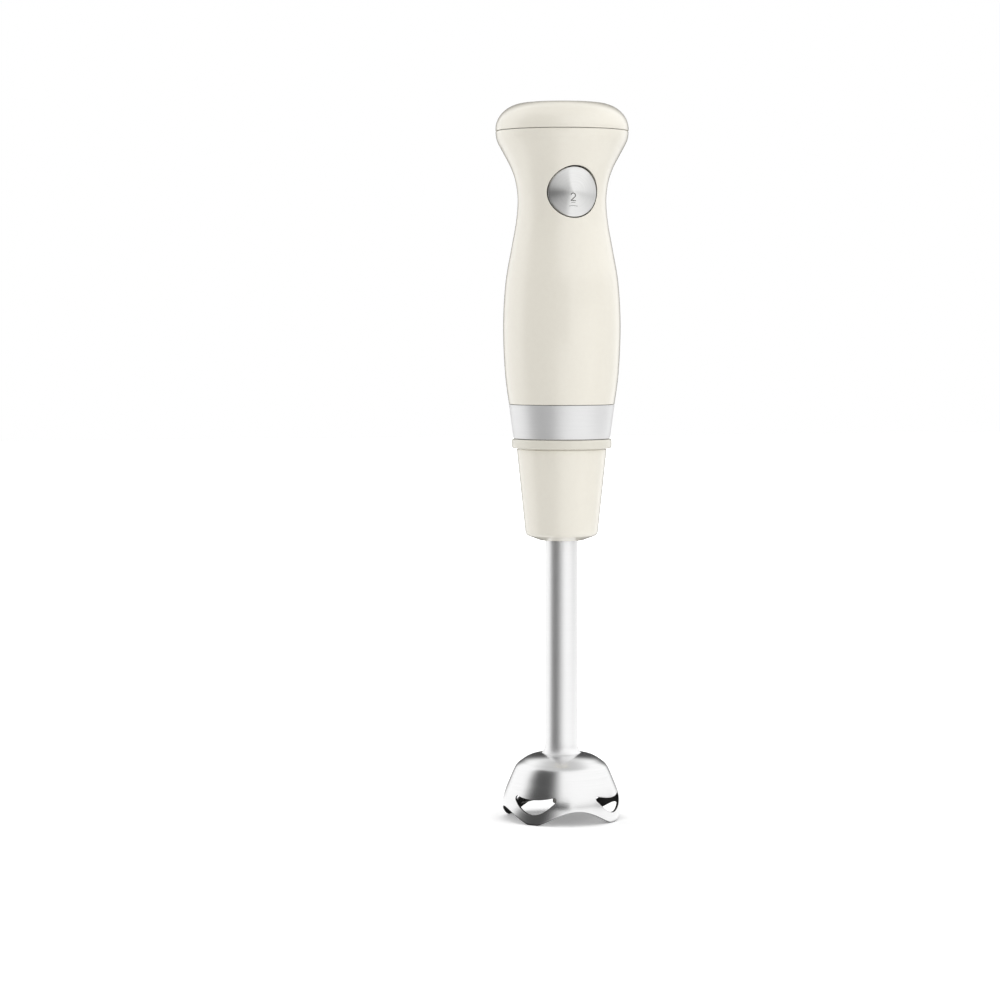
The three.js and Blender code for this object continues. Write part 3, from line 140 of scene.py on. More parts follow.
class Tree:
    """A node tree; every node in it comes from one method."""

    def __init__(self, nodes: bpy.types.NodeTree) -> None:
        """Empties a node tree and keeps it."""
        self.nodes = nodes
        nodes.nodes.clear()

    def node(
        self,
        kind: str,
        settings: dict[str, object] | None = None,
        inputs: "dict[int | str, object] | Sequence[object]" = (),
        output: int | str = 0,
    ) -> Value:
        """Adds a node.

        Args:
            kind: the node's type.
            settings: its properties, set first.
            inputs: values or links by socket number or name, or in order.
            output: the socket that is returned.

        Returns:
            The chosen output of the new node.
        """
        node = self.nodes.nodes.new(kind)
        for name, setting in (settings or {}).items():
            setattr(node, name, setting)
        named = inputs if isinstance(inputs, dict) else dict(enumerate(inputs))
        for socket, value in named.items():
            if isinstance(value, Value):
                self.nodes.links.new(value.socket, node.inputs[socket])
            else:
                node.inputs[socket].default_value = value
        return Value(self, node.outputs[output] if node.outputs else None)

    def axes(self, coordinate: Value) -> tuple[Value, Value, Value]:
        """The three parts of a vector."""
        split = self.node("ShaderNodeSeparateXYZ", inputs=(coordinate,))
        return tuple(Value(self, socket) for socket in split.socket.node.outputs)

    def vector(self, x: Value | float, y: Value | float, z: Value | float) -> Value:
        """A vector from three parts."""
        return self.node("ShaderNodeCombineXYZ", inputs=(x, y, z))

    def noise(self, coordinate: Value, scale: float, detail: float = 2.0) -> Value:
        """Smooth noise from 0 to 1."""
        inputs = {"Vector": coordinate, "Scale": scale, "Detail": detail}
        return self.node("ShaderNodeTexNoise", {"normalize": True}, inputs)

    def blend(self, share: Value | float, first: object, second: object) -> Value:
        """A colour between two colours."""
        inputs = {0: share, 6: self.paint(first), 7: self.paint(second)}
        return self.node("ShaderNodeMix", {"data_type": "RGBA"}, inputs, 2)

    def glow(self, colour: object) -> Value:
        """A shader that only gives light."""
        return self.node("ShaderNodeEmission", inputs={"Color": self.paint(colour)})

    def ray(self, kind: str) -> Value:
        """1 for one kind of ray, such as "Is Camera Ray", and 0 for the others."""
        return self.node("ShaderNodeLightPath", output=kind)

    @staticmethod
    def paint(colour: object) -> object:
        """A colour as a socket takes it."""
        return colour if isinstance(colour, Value) else (*colour, 1.0)


def srgb(red: int, green: int, blue: int) -> Colour:
    """A colour as linear light.

    Args:
        red, green, blue: its channels as display values from 0 to 255.

    Returns:
        The colour.
    """

    def linear(value: int) -> float:
        """One channel."""
        share = value / 255
        return share / 12.92 if share <= 0.04045 else ((share + 0.055) / 1.055) ** 2.4

    return linear(red), linear(green), linear(blue)


# Finishes


class Pattern(Enum):
    """How the fine structure of a surface runs."""

    GRAIN = "even grain"
    AROUND = "lines around the drive axis"
    ALONG = "lines along the drive axis"
    SPUN = "rings around the piece's own Z axis"
    LAYERS = "stacked sheets"
    BARS = "bars around the drive axis"
    WIRE = "wound wire"
    TRACKS = "printed tracks"


@dataclass(frozen=True)
class Finish:
    """A surface finish: two tones of a colour, mixed by a fine pattern that also gives relief.

    Args:
        slot: the record's material slot.
        pattern: how the fine structure runs.
        colour: the main tone.
        tone: the second tone.
        pitch: size of the pattern's features.
        relief: height of the pattern.
        roughness: roughness between the features.
        spread: how much rougher the features are.
        smudge: how much handling varies the roughness.
        metal: how metallic it is, 1 for bare metal.
        coat: weight of a clear gloss layer.
        sheen_along: anisotropy of the reflection.
        name: the material's name; the slot's by default.
    """

    slot: str
    pattern: Pattern
    colour: Colour
    tone: Colour
    pitch: float
    relief: float
    roughness: float
    spread: float = 0.0
    smudge: float = 0.0
    metal: float = 0.0
    coat: float = 0.0
    sheen_along: float = 0.0
    name: str = ""

    BAR_COUNT: ClassVar[int] = 12
    COAT_ROUGHNESS: ClassVar[float] = 0.05
    SHEEN_TURN: ClassVar[float] = 0.25
    STRETCH: ClassVar[dict[Pattern, float]] = {
        Pattern.AROUND: 150, Pattern.ALONG: 80, Pattern.SPUN: 60,
    }
    MADE: ClassVar[dict[str, bpy.types.Material]] = {}
    SMUDGE_SIZE: ClassVar[float] = 18 * MM
    SMUDGE_DETAIL: ClassVar[float] = 3.0

    def material(self) -> bpy.types.Material:
        """The material of this finish, made once.

        Returns:
            The same material each time.
        """
        name = self.name or f"{self.slot}_finish"
        if name in self.MADE:
            return self.MADE[name]
        made = self.MADE[name] = bpy.data.materials.new(name)
        made.use_nodes = True
        tree = Tree(made.node_tree)
        place = tree.node("ShaderNodeTexCoord", output="Object")
        mask = self.mask(tree, place)
        smudges = tree.noise(place, 1 / self.SMUDGE_SIZE, self.SMUDGE_DETAIL)
        relief = {"Height": mask, "Distance": self.relief, "Strength": 1.0}
        sockets = {
            "Base Color": tree.blend(mask, self.colour, self.tone),
            "Roughness": self.roughness + self.spread * mask + self.smudge * (smudges - 0.5),
            "Metallic": self.metal,
            "Coat Weight": self.coat,
            "Coat Roughness": self.COAT_ROUGHNESS,
            "Anisotropic": self.sheen_along,
            "Anisotropic Rotation": self.SHEEN_TURN,
            "Normal": tree.node("ShaderNodeBump", inputs=relief),
        }
        shader = tree.node("ShaderNodeBsdfPrincipled", inputs=sockets)
        tree.node("ShaderNodeOutputMaterial", inputs={"Surface": shader})
        return made

    def mask(self, tree: Tree, place: Value) -> Value:
        """The pattern as a value from 0 to 1.

        Args:
            tree: the material's node tree.
            place: object coordinates.

        Returns:
            1 on the pattern's features, 0 between them.
        """
        fine = 1 / self.pitch
        coarse = fine / self.STRETCH.get(self.pattern, 1.0)
        x, y, z = tree.axes(place)
        if self.pattern is Pattern.GRAIN:
            return tree.noise(place, fine)
        if self.pattern is Pattern.AROUND:
            return tree.noise(tree.vector(x * coarse, y * coarse, z * fine), 1.0)
        if self.pattern is Pattern.ALONG:
            return tree.noise(tree.vector(x * fine, y * fine, z * coarse), 1.0)
        if self.pattern is Pattern.SPUN:
            radius = (x * x + y * y).root()
            return tree.noise(tree.vector(radius * fine, x * coarse, y * coarse), 1.0)
        if self.pattern is Pattern.LAYERS:
            return (z * (math.tau * fine)).wave().between(0.2, 1.0)
        if self.pattern is Pattern.WIRE:
            coils = (z * (math.tau * fine)).wave() * 0.5 + 0.5
            return coils * tree.noise(place, fine / 3)
        if self.pattern is Pattern.BARS:
            angle = (y - AXIS_Y).angle_to(x)
            return (angle * float(self.BAR_COUNT)).wave().between(0.9, 1.0)
        across = (x * (math.tau * fine)).wave().maximum((z * (math.tau * fine)).wave())
        return across.between(0.93, 0.97) * tree.noise(place, fine / 4).between(0.45, 0.55)

    def dress(self, piece: bpy.types.Object) -> None:
        """Gives a piece this finish alone."""
        piece.data.materials.clear()
        piece.data.materials.append(self.material())

    def touch_up(
        self, piece: bpy.types.Object, chosen: Callable[[bpy.types.MeshPolygon, Vector], bool]
    ) -> None:
        """Gives some faces of a dressed piece this finish.

        Args:
            piece: the piece.
            chosen: tells the faces to take, from a face and its level offset from the drive axis.
        """
        piece.data.materials.append(self.material())
        for face in piece.data.polygons:
            if chosen(face, Vector((face.center.x, face.center.y - AXIS_Y, 0))):
                face.material_index = 1


CREAM = Finish(
    "cream_plastic", Pattern.GRAIN, srgb(238, 234, 222), srgb(235, 230, 218),
    pitch=2.4 * MM, relief=0.004 * MM, roughness=0.2, spread=0.05, smudge=0.06, coat=0.5,
)
CREAM_RING = Finish(
    "cream_plastic", Pattern.GRAIN, srgb(226, 223, 211), srgb(222, 218, 206),
    pitch=2.4 * MM, relief=0.004 * MM, roughness=0.3, spread=0.05, smudge=0.06, coat=0.3,
    name="cream_ring",
)
BRUSHED = Finish(
    "brushed_steel", Pattern.AROUND, srgb(236, 236, 236), srgb(224, 224, 224),
    pitch=0.12 * MM, relief=0.002 * MM, roughness=0.36, spread=0.08, smudge=0.06, metal=0.45,
)
SPUN = Finish(
    "spun_steel", Pattern.SPUN, srgb(246, 246, 245), srgb(220, 220, 218),
    pitch=0.15 * MM, relief=0.002 * MM, roughness=0.3, spread=0.06, smudge=0.03, metal=1.0,
    sheen_along=0.7,
)
POLISHED = Finish(
    "polished_steel", Pattern.AROUND, srgb(241, 241, 241), srgb(231, 231, 231),
    pitch=0.3 * MM, relief=0.0006 * MM, roughness=0.22, spread=0.05, smudge=0.05, metal=1.0,
)
SATIN = Finish(
    "polished_steel", Pattern.AROUND, srgb(252, 252, 252), srgb(245, 245, 245),
    pitch=0.25 * MM, relief=0.0008 * MM, roughness=0.41, spread=0.06, smudge=0.05, metal=0.87,
    name="satin_steel",
)
# Dark steel for the inside of the bell: unpolished steel, darkened further as painted shade.
RAW_STEEL_AND_SHADE = Finish(
    "polished_steel", Pattern.AROUND, srgb(96, 96, 95), srgb(72, 72, 71),
    pitch=0.4 * MM, relief=0.004 * MM, roughness=0.42, spread=0.12, smudge=0.06, metal=1.0,
    name="raw_steel_and_painted_shade",
)
BLADE_STEEL = Finish(
    "blade_steel", Pattern.ALONG, srgb(205, 204, 202), srgb(180, 180, 178),
    pitch=0.2 * MM, relief=0.003 * MM, roughness=0.24, spread=0.1, smudge=0.05, metal=1.0,
)
PLATED = Finish(
    "plated_steel", Pattern.GRAIN, srgb(186, 185, 180), srgb(160, 158, 150),
    pitch=1.5 * MM, relief=0.004 * MM, roughness=0.34, spread=0.12, smudge=0.08, metal=1.0,
)
LAMINATION = Finish(
    "lamination_steel", Pattern.LAYERS, srgb(98, 98, 100), srgb(48, 48, 50),
    pitch=0.5 * MM, relief=0.05 * MM, roughness=0.45, spread=0.15, smudge=0.06, metal=0.9,
)
DARK = Finish(
    "dark_plastic", Pattern.GRAIN, srgb(44, 44, 46), srgb(34, 34, 36),
    pitch=0.35 * MM, relief=0.012 * MM, roughness=0.5, spread=0.12, smudge=0.06,
)
RUBBER = Finish(
    "black_rubber", Pattern.GRAIN, srgb(31, 31, 32), srgb(22, 22, 23),
    pitch=0.25 * MM, relief=0.015 * MM, roughness=0.68, spread=0.14, smudge=0.08,
)
BRONZE = Finish(
    "bronze", Pattern.GRAIN, srgb(172, 132, 80), srgb(112, 80, 46),
    pitch=0.3 * MM, relief=0.02 * MM, roughness=0.42, spread=0.15, smudge=0.05, metal=1.0,
)
BRASS = Finish(
    "brass", Pattern.ALONG, srgb(205, 176, 106), srgb(176, 146, 80),
    pitch=0.2 * MM, relief=0.004 * MM, roughness=0.28, spread=0.1, smudge=0.06, metal=1.0,
)
COPPER_WIRE = Finish(
    "copper_wire", Pattern.WIRE, srgb(132, 62, 30), srgb(198, 108, 62),
    pitch=0.55 * MM, relief=0.25 * MM, roughness=0.3, spread=0.1, smudge=0.05, metal=0.8, coat=0.5,
)
COPPER_BARS = Finish(
    "copper_bars", Pattern.BARS, srgb(196, 122, 82), srgb(46, 38, 34),
    pitch=1.0 * MM, relief=0.1 * MM, roughness=0.3, spread=0.3, smudge=0.08, metal=1.0,
)
CARBON = Finish(
    "carbon", Pattern.GRAIN, srgb(52, 52, 54), srgb(34, 34, 35),
    pitch=0.4 * MM, relief=0.02 * MM, roughness=0.6, spread=0.2,
)
FERRITE = Finish(
    "ferrite", Pattern.GRAIN, srgb(74, 74, 78), srgb(56, 56, 60),
    pitch=0.6 * MM, relief=0.02 * MM, roughness=0.62, spread=0.15,
)
BOARD = Finish(
    "circuit_board", Pattern.TRACKS, srgb(38, 96, 62), srgb(66, 140, 88),
    pitch=2.6 * MM, relief=0.03 * MM, roughness=0.4, spread=0.1, coat=0.4,
)
CAN = Finish(
    "capacitor_can", Pattern.GRAIN, srgb(40, 52, 88), srgb(34, 44, 76),
    pitch=1.2 * MM, relief=0.01 * MM, roughness=0.3, spread=0.06, coat=0.4,
)
ENGRAVING = Finish(
    "spun_steel", Pattern.GRAIN, srgb(92, 91, 86), srgb(70, 69, 65),
    pitch=0.3 * MM, relief=0.003 * MM, roughness=0.45, spread=0.1, metal=0.8, name="engraving",
)


# Outlines


def mix(low: float, high: float, share: float) -> float:
    """The value a share of the way from low to high."""
    return low + (high - low) * share


def turns(sides: int) -> list[float]:
    """Equal angles all the way round."""
    return [math.tau * i / sides for i in range(sides)]


def polar(radius: float, turn: float) -> Point2:
    """The level place at a radius and an angle."""
    return radius * math.cos(turn), radius * math.sin(turn)


def nearest(levels: Sequence[float], height: float) -> int:
    """The number of the level that is nearest to a height."""
    return min(range(len(levels)), key=lambda i: abs(levels[i] - height))


def arc(centre: Point2, size: Point2, start: float, end: float, steps: int) -> list[Point2]:
    """steps + 1 points on an ellipse, from a start angle to an end angle in degrees."""
    angles = [math.radians(mix(start, end, i / steps)) for i in range(steps + 1)]
    return [(centre[0] + size[0] * math.cos(a), centre[1] + size[1] * math.sin(a)) for a in angles]


def rounded(corners: Sequence[tuple[float, float, float]], steps: int = 5) -> list[Point2]:
    """A closed outline whose corners are rounded.

    Args:
        corners: x, y and rounding radius of each corner.
        steps: divisions of each rounding.

    Returns:
        The outline's points in the same order.
    """
    outline: list[Point2] = []
    for i, (x, y, radius) in enumerate(corners):
        here = Vector((x, y))
        if radius <= 0:
            outline.append((x, y))
            continue
        back = Vector(corners[i - 1][:2]) - here
        on = Vector(corners[(i + 1) % len(corners)][:2]) - here
        half = back.angle(on) / 2
        reach = min(radius / math.tan(half), 0.49 * back.length, 0.49 * on.length)
        start, end = here + back.normalized() * reach, here + on.normalized() * reach
        for k in range(steps + 1):
            t = k / steps
            near = start.lerp(here, t).lerp(here.lerp(end, t), t)
            outline.append((near.x, near.y))
    return outline


def smooth_curve(points: Sequence[Point2], divisions: int) -> list[Point2]:
    """A uniform Catmull-Rom curve through points.

    Args:
        points: the points it passes through.
        divisions: number of equal steps along it.

    Returns:
        divisions + 1 points.
    """
    curve: list[Point2] = []
    last = len(points) - 1
    for i in range(divisions + 1):
        place = last * i / divisions
        start = min(int(place), last - 1)
        t = place - start
        near = [points[min(max(start + k, 0), last)] for k in (-1, 0, 1, 2)]
        weights = (
            (-t + 2 * t * t - t ** 3) / 2,
            (2 - 5 * t * t + 3 * t ** 3) / 2,
            (t + 4 * t * t - 3 * t ** 3) / 2,
            (-t * t + t ** 3) / 2,
        )
        curve.append(tuple(sum(w * p[axis] for w, p in zip(weights, near)) for axis in (0, 1)))
    return curve


def radius_at(outline: Sequence[Point2], height: float) -> float:
    """The radius of an outline at one height.

    Args:
        outline: (radius, height) points that rise steadily.
        height: the height.

    Returns:
        The radius there.
    """
    above = bisect_left(outline, height, key=lambda station: station[1])
    above = min(max(above, 1), len(outline) - 1)
    (r0, z0), (r1, z1) = outline[above - 1], outline[above]
    return mix(r0, r1, (height - z0) / (z1 - z0))


def inset(outline: Sequence[Point2], wall: float) -> list[Point2]:
    """An outline moved towards the axis, square to itself.

    Args:
        outline: (radius, height) points.
        wall: how far it moves.

    Returns:
        As many points.
    """
    moved: list[Point2] = []
    for i, (r, z) in enumerate(outline):
        before = Vector(outline[max(i - 1, 0)])
        after = Vector(outline[min(i + 1, len(outline) - 1)])
        along = (after - before).normalized()
        moved.append((max(r - along.y * wall, 0.0), z + along.x * wall))
    return moved


# Meshes

CREASE = math.radians(38)
SIDES = 128
SMALL_SIDES = 64
TINY = 1e-6


class Draft:
    """Points and faces of a piece that is being built about the drive axis."""

    def __init__(self) -> None:
        """Starts empty."""
        self.points: list[Point3] = []
        self.faces: list[tuple[int, ...]] = []

    @classmethod
    def turned(cls, outline: Sequence[Point2], sides: int = SIDES) -> "Draft":
        """A solid of revolution.

        Args:
            outline: its closed (radius, height) outline.
            sides: divisions around the axis.

        Returns:
            The draft.
        """
        draft = cls()
        draft.chain([draft.ring(radius, height, sides) for radius, height in outline], closed=True)
        return draft

    def loop(self, points: Iterable[Point3]) -> list[int]:
        """Adds points.

        Args:
            points: the points in order.

        Returns:
            Their numbers.
        """
        start = len(self.points)
        self.points.extend(points)
        return list(range(start, len(self.points)))

    def ring(self, radius: float, height: float, sides: int) -> list[int]:
        """Adds a level circle, or one point where the radius is 0."""
        around = turns(sides) if radius > TINY else [0.0]
        return self.loop([(*polar(radius, turn), height) for turn in around])

    def bridge(self, first: Sequence[int], second: Sequence[int]) -> None:
        """Joins two closed loops with faces.

        Args:
            first, second: the loops' points; either may be a single point.
        """
        count = max(len(first), len(second))
        for i in range(count):
            j = (i + 1) % count
            near = (first[i % len(first)], first[j % len(first)])
            far = (second[j % len(second)], second[i % len(second)])
            self.faces.append(tuple(dict.fromkeys(near + far)))

    def chain(self, loops: Sequence[Sequence[int]], closed: bool = False) -> None:
        """Joins each loop to the next.

        Args:
            loops: the loops in order.
            closed: True joins the last one to the first.
        """
        following = [*loops[1:], loops[0]] if closed else loops[1:]
        for first, second in zip(loops, following):
            if len(first) > 1 or len(second) > 1:
                self.bridge(first, second)

    def panel(self, points: Iterable[Point3]) -> None:
        """Adds one face."""
        self.faces.append(tuple(self.loop(points)))

    def piece(self, name: str, place: Matrix | None = None) -> bpy.types.Object:
        """Makes the piece.

        Args:
            name: the piece's name.
            place: where the draft's own frame stands; the drive axis by default.

        Returns:
            The new object, its faces turned outwards and smooth.
        """
        mesh = bpy.data.meshes.new(name)
        mesh.from_pydata(self.points, [], self.faces)
        work = bmesh.new()
        work.from_mesh(mesh)
        bmesh.ops.recalc_face_normals(work, faces=work.faces)
        work.to_mesh(mesh)
        work.free()
        if place is None:
            mesh.transform(Matrix.Translation((0, AXIS_Y, 0)))
        mesh.shade_smooth()
        mesh.set_sharp_from_angle(angle=CREASE)
        piece = bpy.data.objects.new(name, mesh)
        if place is not None:
            piece.matrix_world = place
        bpy.context.scene.collection.objects.link(piece)
        return piece


@dataclass
class Opening:
    """A hole through a turned wall, seen level from outside.

    Args:
        direction: where it faces, in degrees about the drive axis from +X.
        columns: half of the wall's columns that it takes.
        rows: the first and last of the wall's rows that it takes.
        edge: rounding of its outer edge.
    """

    direction: float
    columns: int
    rows: tuple[int, int]
    edge: float

    ROUNDING: ClassVar[list[Point2]] = [(1.0, 0.0), (0.3, 0.08), (0.08, 0.3), (0.0, 1.0)]

    def sides(self, growth: float) -> list[Curve]:
        """Its bottom, right, top and left sides as curves of (across, height)."""
        raise NotImplementedError

    def outline(self, growth: float) -> list[Point2]:
        """Its outline, with one point for each point of the wall around it.

        Args:
            growth: how far it is widened.

        Returns:
            The outline's points as (across, height).
        """
        counts = (2 * self.columns, self.rows[1] - self.rows[0]) * 2
        sides = zip(self.sides(growth), counts)
        return [side(i / count) for side, count in sides for i in range(count)]

    def rings(self, wall: "TurnedWall") -> list[list[Point3]]:
        """The rings from the outer surface in to the inner one."""
        return self.edge_rings(wall, self.ROUNDING) + [self.inner_ring(wall, 0.0)]

    def edge_rings(self, wall: "TurnedWall", rounding: Sequence[Point2]) -> list[list[Point3]]:
        """Rings over the rounded edge.

        Args:
            wall: the wall that it goes through.
            rounding: (growth, sink) of each ring as shares of the edge.

        Returns:
            The rings.
        """
        edge = self.edge
        return [
            [wall.facing(self, place, edge * sink) for place in self.outline(edge * grow)]
            for grow, sink in rounding
        ]

    def inner_ring(self, wall: "TurnedWall", growth: float) -> list[Point3]:
        """The outline on the wall's inside."""
        return [wall.facing(self, place, 0.0, True) for place in self.outline(growth)]

    @staticmethod
    def bend(centre: Point2, radius: float, start: float, stop: float, sign: int = 1) -> Curve:
        """A side that follows an arc.

        Args:
            centre: the arc's middle.
            radius: its radius.
            start: its first angle in degrees.
            stop: its last angle in degrees.
            sign: -1 mirrors it to the left.

        Returns:
            The side.
        """

        def at(share: float) -> Point2:
            """The place a share of the way along it."""
            across, up = polar(radius, math.radians(mix(start, stop, share)))
            return sign * (centre[0] + across), centre[1] + up

        return at


@dataclass
class RoundOpening(Opening):
    """A round hole."""

    radius: float
    height: float

    def sides(self, growth: float) -> list[Curve]:
        """Four quarters of a circle, from the lower left."""
        middle, radius = (0.0, self.height), self.radius + growth
        return [self.bend(middle, radius, start, start + 90) for start in (225, 315, 45, 135)]


@dataclass
class SlotOpening(Opening):
    """A level slot with round ends."""

    half_width: float
    half_height: float
    height: float

    def sides(self, growth: float) -> list[Curve]:
        """Its straight bottom and top and its two round ends.

        Args:
            growth: how far it is widened.

        Returns:
            The sides.
        """
        radius = self.half_height + growth
        reach = self.half_width - self.half_height
        middle = (reach, self.height)

        def straight(sign: int) -> Curve:
            """The bottom for -1, or the top for 1."""
            return lambda share: (mix(sign, -sign, share) * reach, self.height + sign * radius)

        return [
            straight(-1), self.bend(middle, radius, -90, 90),
            straight(1), self.bend(middle, radius, 90, -90, -1),
        ]


@dataclass
class TurnedWall:
    """A hollow turned wall with openings.

    Args:
        outer: (radius, height) stations of the outside, rising.
        inner: as many stations of the inside.
        rim: stations from the outside's foot round to the inside's foot.
        brim: stations from the outside's top round to the inside's top.
        openings: the holes through it.
        lift: how much higher the rim stands at an angle.
        lift_reach: height over which the lift fades out.
        sides: columns around the drive axis.
    """

    outer: list[Point2]
    inner: list[Point2]
    rim: list[Point2]
    brim: list[Point2]
    openings: list[Opening]
    lift: Callable[[float], float] | None = None
    lift_reach: float = 1.0
    sides: int = 144

    FILL_STEPS: ClassVar[int] = 5
    FILL_EASE: ClassVar[float] = 0.8

    def place(self, station: Point2, turn: float) -> Point3:
        """A station's place at an angle, on the wall and lifted with the rim.

        Args:
            station: its radius and height.
            turn: the angle.

        Returns:
            The place about the drive axis.
        """
        radius, height = station
        if self.lift is not None and height < self.lift_reach:
            lifted = height + self.lift(turn) * (1 - height / self.lift_reach)
            radius += radius_at(self.outer, lifted) - radius_at(self.outer, height)
            height = lifted
        return (*polar(radius, turn), height)

    def facing(self, opening: Opening, place: Point2, sink: float, inside: bool = False) -> Point3:
        """A place of an opening's outline on the wall.

        Args:
            opening: the opening.
            place: across and height, as the opening is seen.
            sink: how far it lies behind the surface.
            inside: True for the inner surface.

        Returns:
            The place about the drive axis.
        """
        across, height = place
        radius = radius_at(self.inner if inside else self.outer, height)
        reach = math.sqrt(radius * radius - across * across) - sink
        return self.aimed(opening.direction, across, reach, height)

    @staticmethod
    def aimed(direction: float, across: float, reach: float, height: float) -> Point3:
        """A place given as it is seen from outside.

        Args:
            direction: where it is seen from, in degrees.
            across: how far it is to the right.
            reach: how far it is from the drive axis.
            height: its height.

        Returns:
            The place about the drive axis.
        """
        turn = math.radians(direction)
        return (
            reach * math.cos(turn) - across * math.sin(turn),
            reach * math.sin(turn) + across * math.cos(turn),
            height,
        )

    def draft(self) -> Draft:
        """Builds the wall as one closed mesh.

        Returns:
            The draft.
        """
        draft = Draft()

        def grid(stations: Sequence[Point2]) -> list[list[int]]:
            """One loop for each station."""
            return [draft.loop([self.place(s, t) for t in turns(self.sides)]) for s in stations]

        outer, inner = grid(self.outer), grid(self.inner)
        rim, brim = grid(self.rim), grid(self.brim)
        draft.chain([outer[0], *rim, inner[0]])
        draft.chain([outer[-1], *brim, inner[-1]])
        skipped = self._skipped()
        for rows in (outer, inner):
            for row, (low, high) in enumerate(zip(rows, rows[1:])):
                for i in range(self.sides):
                    j = (i + 1) % self.sides
                    if (row, i) not in skipped:
                        draft.faces.append((low[i], low[j], high[j], high[i]))
        for opening in self.openings:
            rings = opening.rings(self)
            edge = self._fill(draft, opening, outer, rings[0], False)
            lining = [draft.loop(ring) for ring in rings[1:-1]]
            draft.chain([edge, *lining, self._fill(draft, opening, inner, rings[-1], True)])
        return draft

    def _first_column(self, opening: Opening) -> int:
        """The first column that an opening takes."""
        return round(opening.direction / 360 * self.sides) - opening.columns

    def _skipped(self) -> set[tuple[int, int]]:
        """The cells that the openings take.

        Returns:
            Their (row, column) numbers.
        """
        return {
            (row, (self._first_column(opening) + i) % self.sides)
            for opening in self.openings
            for row in range(*opening.rows)
            for i in range(2 * opening.columns)
        }

    def _border(self, opening: Opening, rows: list[list[int]]) -> list[int]:
        """The wall's points around an opening.

        Args:
            opening: the opening.
            rows: the points of one of the wall's surfaces.

        Returns:
            Their numbers from the lower left, anticlockwise.
        """
        start = self._first_column(opening)
        low, high = opening.rows
        width = 2 * opening.columns
        cells = [(low, i) for i in range(width)]
        cells += [(row, width) for row in range(low, high)]
        cells += [(high, width - i) for i in range(width)]
        cells += [(row, 0) for row in range(high, low, -1)]
        return [rows[row][(start + column) % self.sides] for row, column in cells]

    def _fill(
        self,
        draft: Draft,
        opening: Opening,
        rows: list[list[int]],
        hole: list[Point3],
        inside: bool,
    ) -> list[int]:
        """Joins the wall's points around an opening to the opening's own edge.

        Args:
            draft: the mesh.
            opening: the opening.
            rows: the points of one of the wall's surfaces.
            hole: the edge's places.
            inside: True for the inner surface.

        Returns:
            The edge's points.
        """
        border = self._border(opening, rows)
        turn = math.radians(opening.direction)

        def seen(point: Point3) -> Point2:
            """A point as the opening is seen: across and height."""
            return -point[0] * math.sin(turn) + point[1] * math.cos(turn), point[2]

        loops = [border]
        for step in range(1, self.FILL_STEPS):
            share = (step / self.FILL_STEPS) ** self.FILL_EASE
            ring: list[Point3] = []
            for number, point in zip(border, hole):
                far, near = seen(draft.points[number]), seen(point)
                place = (mix(far[0], near[0], share), mix(far[1], near[1], share))
                ring.append(self.facing(opening, place, 0.0, inside))
            loops.append(draft.loop(ring))
        loops.append(draft.loop(hole))
        draft.chain(loops)
        return loops[-1]


# Sub-assemblies


class Body(Enum):
    """The moving bodies that carry pieces made here."""

    HANDLE = "handle"
    ROTOR = "rotor"
    BUTTON = "button"
    FOOT = "foot"
    BLADE_DRIVE = "blade_drive"


@dataclass
class Assembly:
    """A group of pieces that ride on one body."""

    body: ClassVar[Body] = Body.HANDLE

    def build(self) -> list[bpy.types.Object]:
        """Makes the group's own pieces."""
        return []

    def finishes(self) -> dict[str, Finish]:
        """The finish of each CAD node that stays as it is."""
        return {}

    def add(
        self, draft: Draft, name: str, finish: Finish, *nodes: str, place: Matrix | None = None
    ) -> bpy.types.Object:
        """Makes a piece, dresses it and puts it on this group's body.

        Args:
            draft: its mesh.
            name: its name.
            finish: its finish.
            nodes: the CAD nodes that it stands for.
            place: where the draft's own frame stands; the drive axis by default.

        Returns:
            The piece.
        """
        piece = draft.piece(name, place)
        finish.dress(piece)
        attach(piece, self.body.value)
        if nodes:
            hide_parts(*nodes)
        return piece

    def dress(self) -> None:
        """Gives the CAD nodes that stay their finishes."""
        for node, finish in self.finishes().items():
            finish.dress(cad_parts[node])


